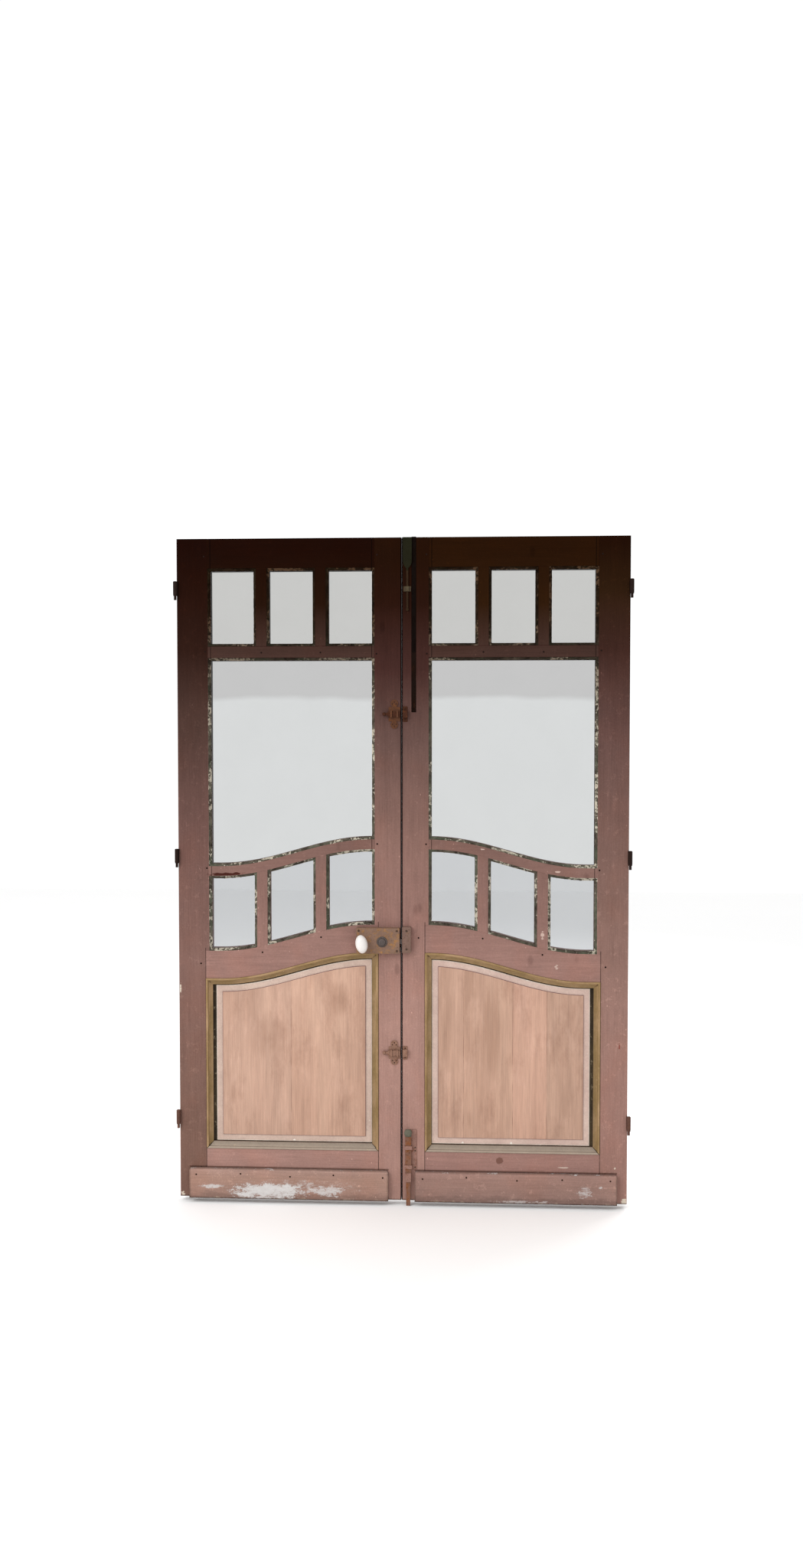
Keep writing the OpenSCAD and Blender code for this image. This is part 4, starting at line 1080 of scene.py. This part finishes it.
@dataclass
class LeafWood:
    """Stiles, rails and muntins of one leaf, and the pegs that hold their joints."""

    side: Side
    hinge_fade_and_shade: HeightRamp
    rail_fade_and_shade: HeightRamp
    scars: tuple[Patch, ...]
    arris: float = 1.1 * MM
    light_w: float = 146 * MM
    muntin_w: float = 55 * MM
    muntins: int = 2
    peg_inset: float = 19 * MM
    peg_wander: float = 7 * MM
    rail_heights: tuple[float, ...] = (0.100, 0.800, 1.127, 1.868, 2.196)
    curved_rails: tuple[int, ...] = (1, 2)
    moulded_rails: tuple[int, ...] = (0, 1)
    transom_nail: float = 1.866
    lock_rail_nail: float = 0.830

    def dress(self) -> None:
        """Paints every member, with worn arrises."""
        name = self.side.value
        hinge = OldPaint(f"{name}_hinge_paint", self.hinge_fade_and_shade, Grain.UPRIGHT, 0.3, self.scars)
        middle = OldPaint(f"{name}_meeting_paint", MIDDLE_FADE_AND_SHADE, Grain.UPRIGHT, 0.15)
        level = OldPaint(f"{name}_rail_paint", self.rail_fade_and_shade, Grain.LEVEL, 0.15, self.scars)
        upright = OldPaint(f"{name}_muntin_paint", self.rail_fade_and_shade, Grain.UPRIGHT, 0.15, self.scars)
        worn = OldPaint(f"{name}_arris_paint", MIDDLE_FADE_AND_SHADE, Grain.UPRIGHT, 0.7)
        for finish, members in (
                (hinge, ("hinge_stile",)), (middle, ("meeting_stile",)),
                (level, ("top_rail", "transom_rail", "curved_rail", "lock_rail", "bottom_rail")),
                (upright, ("top_muntins", "lower_muntins"))):
            for member in members:
                dress(self.side.node(member), finish, self.arris, worn)

    def build_pegs(self) -> None:
        """Sets a peg through each mortise and tenon, and nails under the muntins."""
        places: list[Triple] = []
        for row, height in enumerate(self.rail_heights):
            lift = CURVE_RISE if row in self.curved_rails else 0.0
            inset = self.peg_inset + (MOULD_W if row in self.moulded_rails else 0.0)
            for u, up in ((HINGE_STILE_W - inset, 0.0), (LEAF_W - MEETING_STILE_W + inset, lift)):
                wander = self.peg_wander * math.sin(5.1 * row + 40 * u)
                places.append((self.side.x(u + 0.4 * wander), FRONT_Y, FOOT_Z + height + up + wander))
        for index in range(self.muntins):
            u = HINGE_STILE_W + self.light_w + self.muntin_w / 2 + index * (self.light_w + self.muntin_w)
            for height in (self.transom_nail, self.lock_rail_nail + curve_rise(u)):
                places.append((self.side.x(u), FRONT_Y, FOOT_Z + height))
        NAIL.drive(self.side.node("joint_pegs"), self.side.body, "rusty_iron", places)


class PanelFace(IntEnum):
    """Finishes of a panel, as the numbers of their material slots."""

    # Slots 2 and 4 hold painted shade: the step to the field and the tongue's front.
    FIELD = 0
    MARGIN = 1
    LINE = 2
    EDGE = 3
    GRIME = 4


@dataclass
class Panel:
    """Fielded panel of one leaf: raw field, painted margin, the worn edge of the margin, and painted shade
    on the step to the field and on the tongue's front.
    """

    side: Side
    wood: PanelWood
    margin: RubbedPaint
    field_y: float = 16.1 * MM
    margin_y: float = 20.1 * MM
    tongue_y: float = 24.1 * MM
    edge_w: float = 3.0 * MM
    step_shade_w: float = 1.2 * MM
    margin_w: float = 30 * MM
    tongue_w: float = 14.5 * MM
    curve_shift: float = 5.5 * MM
    margin_middle: float = 0.718
    play: float = 0.2 * MM

    def build(self) -> None:
        """Models the panel from its node, with softened edges and a finish for each of its faces."""
        piece = merged_copy(self.side.node("panel"), self.side.node("fielded_panel"))
        # The dark line on the step between field and margin is painted shade.
        line = RubbedPaint(f"{piece.name}_line", ("7d5c5c", "8f6e66"), "b59384", 0.2)
        edge = RubbedPaint(f"{piece.name}_edge", ("d6c5b6", "e6d8ca"), "f4ece2", 0.6)
        # The tongue's dark paint is painted shade in the gap round the panel.
        grime = RubbedPaint(f"{piece.name}_grime", ("2b2318", "463a28"), "9d8d74", 0.5)
        for finish in (self.wood, self.margin, line, edge, grime):
            piece.data.materials.append(made(finish))
        for face in piece.data.polygons:
            face.material_index = self.finish_of(face)
        bevel_edges(piece, lambda a, b: self.on_outer_edge(a) and self.on_outer_edge(b),
                    offset=self.edge_w, segments=3, material=PanelFace.EDGE)
        bevel_edges(piece, lambda a, b: self.level(a.y, self.field_y) and self.level(b.y, self.field_y),
                    offset=self.step_shade_w, segments=2, material=PanelFace.LINE)
        smooth(piece, degrees=35)
        hand_over(piece, self.side.body, "panel_wood", self.side.node("panel"))

    def level(self, depth: float, face_y: float) -> bool:
        """Whether a depth is that of a face."""
        return abs(depth - face_y) < self.play

    def finish_of(self, face: bpy.types.MeshPolygon) -> PanelFace:
        """Finish that a face of the panel takes.

        Args:
            face: Face of the merged mesh.

        Returns:
            The finish.
        """
        depth = face.center.y
        front = face.normal.y < -0.9
        if front and self.level(depth, self.margin_y):
            return PanelFace.MARGIN
        # Sides of the step to the field: painted shade.
        if not front and self.field_y < depth < self.margin_y:
            return PanelFace.LINE
        # Front of the tongue in the gap round the panel: painted shade.
        if front and self.level(depth, self.tongue_y):
            return PanelFace.GRIME
        return PanelFace.FIELD

    def on_outer_edge(self, point: Vector) -> bool:
        """Whether a point lies on the outer edge of the margin's face, and not on the field's.

        Args:
            point: Point of the merged mesh.

        Returns:
            Whether it does.
        """
        low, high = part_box(self.side.node("panel"))
        inset = self.tongue_w + self.margin_w / 2
        from_hinge = abs(point.x - self.side.x(0.0))
        top = FOOT_Z + self.margin_middle + curve_rise(from_hinge - self.curve_shift)
        within = low.x + inset < point.x < high.x - inset and low.z + self.margin_w < point.z < top
        return self.level(point.y, self.margin_y) and not within


@dataclass
class Mouldings:
    """Bead and hollow round one panel."""

    side: Side

    def dress(self) -> None:
        """Paints the mouldings ochre, and their lowest strip grey-green."""
        low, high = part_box(self.side.node("panel_mouldings"))
        # The mouldings get painted shade in their quirk at the leaf's face and in their hollow.
        ochre = RubbedPaint(
            self.side.node("moulding_paint"), ("93784f", "b0906c"), "c9b08c", 0.25, "aa9a8a", low.z,
            (low.x, high.x), FRONT_Y)
        weld(dress(self.side.node("panel_mouldings"), ochre))


@dataclass
class Glazing:
    """Panes of one leaf and the chipped putty round them."""

    side: Side
    grain: float = 2.0 * MM
    lump: float = 16 * MM
    lump_depth: float = 2.4 * MM
    crumb: float = 5 * MM
    crumb_depth: float = 1.44 * MM
    reflection_z: float = 1.467
    no_reflection_z: float = 3.0

    def dress_panes(self) -> None:
        """Gives the panes their old glass."""
        # Only the large pane gets the painted reflection band.
        for pane, clear, reflected, reflection_z in (
                ("top_panes", "c3c3c1", "c3c3c1", self.no_reflection_z),
                ("large_pane", "d3d5d5", "c0c0c0", self.reflection_z),
                ("lower_panes", "c6c8ca", "c3c4c4", self.no_reflection_z)):
            dress(self.side.node(pane), OldGlass(self.side.node(pane), clear, reflected, reflection_z))

    def build_putty(self) -> None:
        """Models the putty from its node, remeshed and broken up."""
        piece = merged_copy(self.side.node("putty"), self.side.node("chipped_putty"))
        piece.data.remesh_voxel_size = self.grain
        take(piece)
        bpy.ops.object.voxel_remesh()
        for name, size, depth in (
                ("lumps", self.lump, self.lump_depth), ("crumbs", self.crumb, self.crumb_depth)):
            clouds = bpy.data.textures.new(f"{piece.name}_{name}", "CLOUDS")
            clouds.noise_scale = size
            rough = piece.modifiers.new(name, "DISPLACE")
            rough.texture = clouds
            rough.texture_coords = "LOCAL"
            rough.strength = depth
            rough.mid_level = 0.55
            apply_modifier(piece, name)
        piece.data.materials.clear()
        piece.data.materials.append(made(PUTTY))
        take(piece)
        bpy.ops.object.shade_smooth()
        hand_over(piece, self.side.body, "old_putty", self.side.node("putty"))


@dataclass
class KickBoard:
    """Board nailed on the foot of one leaf, and its nails."""

    side: Side
    paint: KickPaint
    arris: float = 1.0 * MM
    nails: int = 5
    end_inset: float = 22 * MM
    nail_drop: float = 20 * MM
    wander_across: float = 6 * MM
    wander_up: float = 4 * MM

    def dress(self) -> None:
        """Paints the board."""
        dress(self.side.node("kick_board"), self.paint, self.arris)

    def build_nails(self) -> None:
        """Drives a row of nails below the board's rounded edge."""
        low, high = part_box(self.side.node("kick_board"))
        span = high.x - low.x - 2 * self.end_inset
        places = []
        for index in range(self.nails):
            wander = math.sin(3.7 * index + low.x * 9)
            x = low.x + self.end_inset + span * index / (self.nails - 1) + self.wander_across * wander
            places.append((x, low.y, high.z - self.nail_drop - self.wander_up * wander))
        NAIL.drive(self.side.node("kick_nails"), self.side.body, "rusty_iron", places)


@dataclass
class Hinges:
    """Lift-off hinge halves of one leaf, with the screws of their plates."""

    side: Side
    knuckles_z: tuple[float, ...] = (10.1 * MM, 908.1 * MM, 1815.1 * MM)
    plate_screws: tuple[float, float] = (11 * MM, 35 * MM)
    plate_y: float = 22 * MM

    def dress(self) -> None:
        """Gives the knuckles and plates their iron."""
        dress(self.side.node("hinges"), HINGE_IRON)

    def build_screws(self) -> None:
        """Sets two screws in each plate, on the leaf's hinge edge."""
        places = [(self.side.x(0.0), self.plate_y, z + up)
                  for z in self.knuckles_z for up in self.plate_screws]
        facing = Facing.LEFT if self.side is Side.LEFT else Facing.RIGHT
        SMALL_SCREW.drive(self.side.node("hinge_screws"), self.side.body, "hinge_iron", places, facing)


@dataclass
class Leaf:
    """One leaf of the doors with its panel, glass, kick board and hinges."""

    wood: LeafWood
    panel: Panel
    kick: KickBoard

    def build(self) -> None:
        """Builds and dresses the leaf's pieces in order."""
        self.wood.dress()
        self.wood.build_pegs()
        self.panel.build()
        Mouldings(self.wood.side).dress()
        glazing = Glazing(self.wood.side)
        glazing.dress_panes()
        glazing.build_putty()
        self.kick.dress()
        self.kick.build_nails()
        hinges = Hinges(self.wood.side)
        hinges.dress()
        hinges.build_screws()


@dataclass
class RimLock:
    """Rim lock on the left leaf, its knobs, its keeper and their screws."""

    plate_arris: float = 0.8 * MM
    bolt_arris: float = 0.5 * MM
    corner: float = 9 * MM
    keeper_inset: float = 13 * MM
    rose_screw_r: float = 18 * MM
    rose_slope: float = 0.6 * MM
    rose_screws: tuple[float, ...] = (90, 210, 330)

    def dress(self) -> None:
        """Gives each piece of the lock its metal or glaze."""
        for finish, arris, nodes in (
                (LOCK_RUST, self.plate_arris, ("lock_case", "lock_back_plate")),
                (GREY_STEEL, self.bolt_arris, ("latch_bolt", "dead_bolt", "knob_spindle")),
                (GREY_STEEL, 0.0, ("follower", "knob_ferrules", "turn_button", "button_rose")),
                (PORCELAIN, 0.0, ("front_knob", "rear_knob")),
                (LOCK_RUST, 0.0, ("rear_rose",)),
                (KEEPER_RUST, self.plate_arris, ("lock_keeper",))):
            for node in nodes:
                dress(node, finish, arris)

    def build_screws(self) -> None:
        """Sets the screws of the case, the keeper and the rear rose."""
        low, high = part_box("lock_case")
        corners = [(x, low.y, z) for x in inside(low.x, high.x, self.corner)
                   for z in inside(low.z, high.z, self.corner)]
        SCREW.drive("lock_case_screws", Side.LEFT.body, "rusty_iron", corners)
        low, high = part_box("lock_keeper")
        ends = [((low.x + high.x) / 2, low.y, z) for z in inside(low.z, high.z, self.keeper_inset)]
        SCREW.drive("lock_keeper_screws", Side.RIGHT.body, "rusty_iron", ends)
        low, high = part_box("rear_rose")
        centre = (low + high) / 2
        ring = [(centre.x + self.rose_screw_r * math.cos(angle), high.y - self.rose_slope,
                 centre.z + self.rose_screw_r * math.sin(angle))
                for angle in map(math.radians, self.rose_screws)]
        SMALL_SCREW.drive("rear_rose_screws", Side.LEFT.body, "rusty_iron", ring, Facing.BACK)


@dataclass
class SurfaceCatch:
    """Flat bolt on a lobed plate, its keeper and their pins."""

    name: str
    plate: OldIron
    bolt: OldIron
    slot: str
    arris: float = 0.5 * MM
    plate_t: float = 2.5 * MM
    keeper_t: float = 2.0 * MM
    lobe_inset: float = 12.5 * MM
    keeper_inset: float = 7 * MM
    fan: tuple[tuple[float, float], ...] = ((-6.5 * MM, -2.5 * MM), (0.0, 4.5 * MM), (6.5 * MM, -2.5 * MM))

    def dress(self) -> None:
        """Gives the plate, the bolt and the keeper their iron."""
        for part, finish in (("plate", self.plate), ("bolt", self.bolt), ("keeper", self.bolt)):
            dress(f"{self.name}_{part}", finish, self.arris)

    def build_screws(self) -> None:
        """Sets three pins in each lobe of the plate and one in each end of the keeper."""
        low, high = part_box(f"{self.name}_plate")
        middle = (low.x + high.x) / 2
        lobes = zip(inside(low.z, high.z, self.lobe_inset), (-1, 1))
        pins = [(middle + across, FRONT_Y - self.plate_t, z + out * up)
                for z, out in lobes for across, up in self.fan]
        PIN.drive(f"{self.name}_plate_screws", Side.LEFT.body, self.slot, pins)
        low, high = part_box(f"{self.name}_keeper")
        middle = (low.x + high.x) / 2
        ends = [(middle, FRONT_Y - self.keeper_t, z) for z in inside(low.z, high.z, self.keeper_inset)]
        PIN.drive(f"{self.name}_keeper_screws", Side.RIGHT.body, self.slot, ends)


@dataclass
class VerticalBolts:
    """Top bolt, long bolt and bottom bolt of the right leaf, with the screws of their plates."""

    top_arris: float = 0.6 * MM
    guide_arris: float = 0.4 * MM
    arris: float = 0.5 * MM
    guide_wing: float = 3 * MM
    plate_corner: float = 5.5 * MM
    plate_t: float = 2.5 * MM
    lower_screws: tuple[float, float] = (48 * MM, 105 * MM)
    upper_screw: float = 62 * MM

    def dress(self) -> None:
        """Gives each bolt its iron."""
        for node, finish, arris in (
                ("top_bolt", GREEN_IRON, self.top_arris), ("top_bolt_guide", GUIDE_IRON, self.guide_arris),
                ("long_bolt", DARK_TOP_IRON, self.arris), ("bottom_bolt", BOTTOM_IRON, 0.0),
                ("bottom_bolt_plate", PLATE_PAINT, self.arris)):
            dress(node, finish, arris)

    def build_screws(self) -> None:
        """Sets the screws of the guide and of the bottom bolt's plate."""
        low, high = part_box("top_bolt_guide")
        wings = [(x, FRONT_Y - self.plate_t, (low.z + high.z) / 2)
                 for x in inside(low.x, high.x, self.guide_wing)]
        SMALL_SCREW.drive("top_guide_screws", Side.RIGHT.body, "rusty_iron", wings)
        low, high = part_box("bottom_bolt_plate")
        heights = (*(low.z + up for up in self.lower_screws), high.z - self.upper_screw)
        SMALL_SCREW.drive("bottom_plate_screws", Side.RIGHT.body, "rusty_iron",
                          [(high.x - self.plate_corner, FRONT_Y - self.plate_t, z) for z in heights])


@dataclass(frozen=True)
class Lamp:
    """A soft square light that looks at the doors."""

    name: str
    place: Triple
    size: float
    power: float

    def hang(self, aim: Vector) -> None:
        """Hangs the light so that it looks at a point.

        Args:
            aim: Point in the middle of the light's beam.
        """
        light = bpy.data.lights.new(self.name, "AREA")
        light.size = self.size
        light.energy = self.power
        lamp = link(bpy.data.objects.new(self.name, light))
        lamp.location = self.place
        lamp.rotation_euler = (aim - Vector(self.place)).to_track_quat("-Z", "Y").to_euler()


@dataclass
class Studio:
    """Pale floor, soft light and the camera."""

    lamps: tuple[Lamp, ...] = (
        Lamp("key", (-2.6, -3.6, 3.4), 3.0, 150.0), Lamp("back_fill", (3.4, 3.8, 3.0), 3.0, 110.0))
    lit_z: float = 0.8
    sky_strength: float = 1.03
    floor_gap: float = 1.5 * MM
    floor_half: float = 9.0
    distance: float = 4.5
    eye_z: float = 1.354
    aim_z: float = 1.177
    aside: float = 0.25
    lens: float = 30.73
    sensor_w: float = 36.0

    def build(self) -> None:
        """Lays the floor, hangs the lights and sets up the camera."""
        self.lay_floor()
        for lamp in self.lamps:
            lamp.hang(Vector((SEAM_X, 0.0, self.lit_z)))
        world = bpy.data.worlds.new("studio")
        world.use_nodes = True
        sky = world.node_tree.nodes["Background"].inputs
        sky["Color"].default_value = (1.0, 1.0, 1.0, 1.0)
        sky["Strength"].default_value = self.sky_strength
        bpy.context.scene.world = world
        bpy.context.scene.view_settings.view_transform = "Standard"
        self.set_camera()

    def lay_floor(self) -> None:
        """Lays the floor just below the lowest bolt."""
        deselect()
        bpy.ops.mesh.primitive_plane_add(size=2 * self.floor_half)
        floor = bpy.context.object
        floor.name = "floor"
        floor.location = (SEAM_X, 0.0, CAD_BOX[0].z - self.floor_gap)
        settle(floor)
        graph = Graph("floor")
        shade = graph.mix(graph.noise(0.8), (0.93, 0.93, 0.925, 1.0), (0.95, 0.95, 0.95, 1.0))
        floor.data.materials.append(graph.surface(shade, 0.8))

    def set_camera(self) -> None:
        """Sets the camera at the photograph's angle, a little aside of the slit between the leaves."""
        data = bpy.data.cameras.new("camera")
        data.lens = self.lens
        data.sensor_width = self.sensor_w
        camera = link(bpy.data.objects.new("camera", data))
        camera.location = (SEAM_X + self.aside, -self.distance, self.eye_z)
        look = Vector((-self.aside, self.distance, self.aim_z - self.eye_z))
        camera.rotation_euler = look.to_track_quat("-Z", "Y").to_euler()
        bpy.context.scene.camera = camera


def margin_chip(x: float) -> Patch:
    """A pale chip in the lower margin of a panel."""
    return Patch(x, -0.049, 0.004, 0.007, 1.0, "efe6da")


def left_leaf() -> Leaf:
    """The leaf with the lock, with its own scars, stains and worn paint.

    Returns:
        The left leaf.
    """
    wood = LeafWood(Side.LEFT, HINGE_FADE_AND_SHADE_LEFT, RAIL_FADE_AND_SHADE_LEFT, (
        Patch(0.178, 0.864, 0.072, 0.012, 1.0, "472620"), Patch(0.0085, 0.473, 0.003, 0.020),
        Patch(0.012, -0.236, 0.010, 0.012, 0.8)))
    field = PanelWood("left_field", ("cfab96", "c39e8a", "a8836f"), ((0.388, (1.04, 1.02, 1.0)),), (
        Patch(0.305, 0.310, 0.080, 0.110, 0.8), Patch(0.552, 0.440, 0.043, 0.080, 0.9)))
    margin = RubbedPaint("left_margin", ("c8aea0", "d4bbac"), "e2d2c4", 0.3, patches=(margin_chip(0.397),))
    kick = KickPaint("left_kick_paint", ((0.0, "9a7a6e"), (0.03, "a98778"), (0.05, "aa8b80")), (
        Patch(0.309, -0.218, 0.132, 0.028), Patch(0.512, -0.213, 0.066, 0.021, 0.85),
        Patch(0.115, -0.204, 0.060, 0.008, 0.8), Patch(0.42, -0.20, 0.24, 0.03, 0.5)))
    return Leaf(wood, Panel(Side.LEFT, field, margin), KickBoard(Side.LEFT, kick))


def right_leaf() -> Leaf:
    """The leaf with the upright bolts, with its own scars, stains and worn paint.

    Returns:
        The right leaf.
    """
    wood = LeafWood(Side.RIGHT, HINGE_FADE_AND_SHADE_RIGHT, RAIL_FADE_AND_SHADE_RIGHT, (
        Patch(1.521, -0.237, 0.013, 0.012), Patch(1.315, -0.124, 0.024, 0.0025, 1.0, "cdb9ab"),
        Patch(1.101, -0.106, 0.013, 0.013, 1.0, "7d5a50"), Patch(1.290, 0.560, 0.010, 0.012, 0.7, "c7aea2"),
        Patch(1.502, 0.293, 0.004, 0.022, 0.8, "8a4f46"), Patch(1.490, -0.125, 0.006, 0.008, 0.7),
        Patch(1.243, 0.668, 0.008, 0.022, 0.8, "c9aea2"), Patch(1.041, 0.957, 0.012, 0.006, 0.7, "c9aea2"),
        Patch(1.293, 0.882, 0.014, 0.006, 0.7, "c9aea2")))
    boards = ((0.977, (0.97, 0.96, 0.95)), (1.144, (1.08, 1.05, 1.06)), (1.259, (0.90, 0.94, 0.94)))
    field = PanelWood("right_field", ("d1ac96", "c6a08b", "a27f6b"), boards, (
        Patch(1.072, 0.344, 0.045, 0.195), Patch(1.290, 0.320, 0.025, 0.140, 0.8),
        Patch(1.000, 0.030, 0.020, 0.050, 0.7)))
    margin = RubbedPaint("right_margin", ("cdb1a5", "d9bfb2"), "e2d2c4", 0.3, patches=(
        margin_chip(0.975), margin_chip(1.140)))
    kick = KickPaint("right_kick_paint", ((0.0, "90736a"), (0.03, "9b7a6f"), (0.05, "a38177")), (
        Patch(1.388, -0.203, 0.030, 0.024, 0.6), Patch(1.440, -0.186, 0.008, 0.008, 0.7),
        Patch(1.165, -0.239, 0.12, 0.008, 0.55)))
    return Leaf(wood, Panel(Side.RIGHT, field, margin), KickBoard(Side.RIGHT, kick))


def main() -> None:
    """Builds the doors in order and reports each piece."""
    logging.basicConfig(level=logging.INFO, format="%(name)s: %(message)s")
    Studio().build()
    left_leaf().build()
    right_leaf().build()
    dress("hinge_pins", HINGE_IRON)
    for hardware in (
            RimLock(), SurfaceCatch("upper_catch", CATCH_RUST, DARK_RUST, "rusty_iron"),
            SurfaceCatch("lower_catch", PAINTED_IRON, PAINTED_IRON, "painted_iron"), VerticalBolts()):
        hardware.dress()
        hardware.build_screws()


if __name__ == "__main__":
    main()
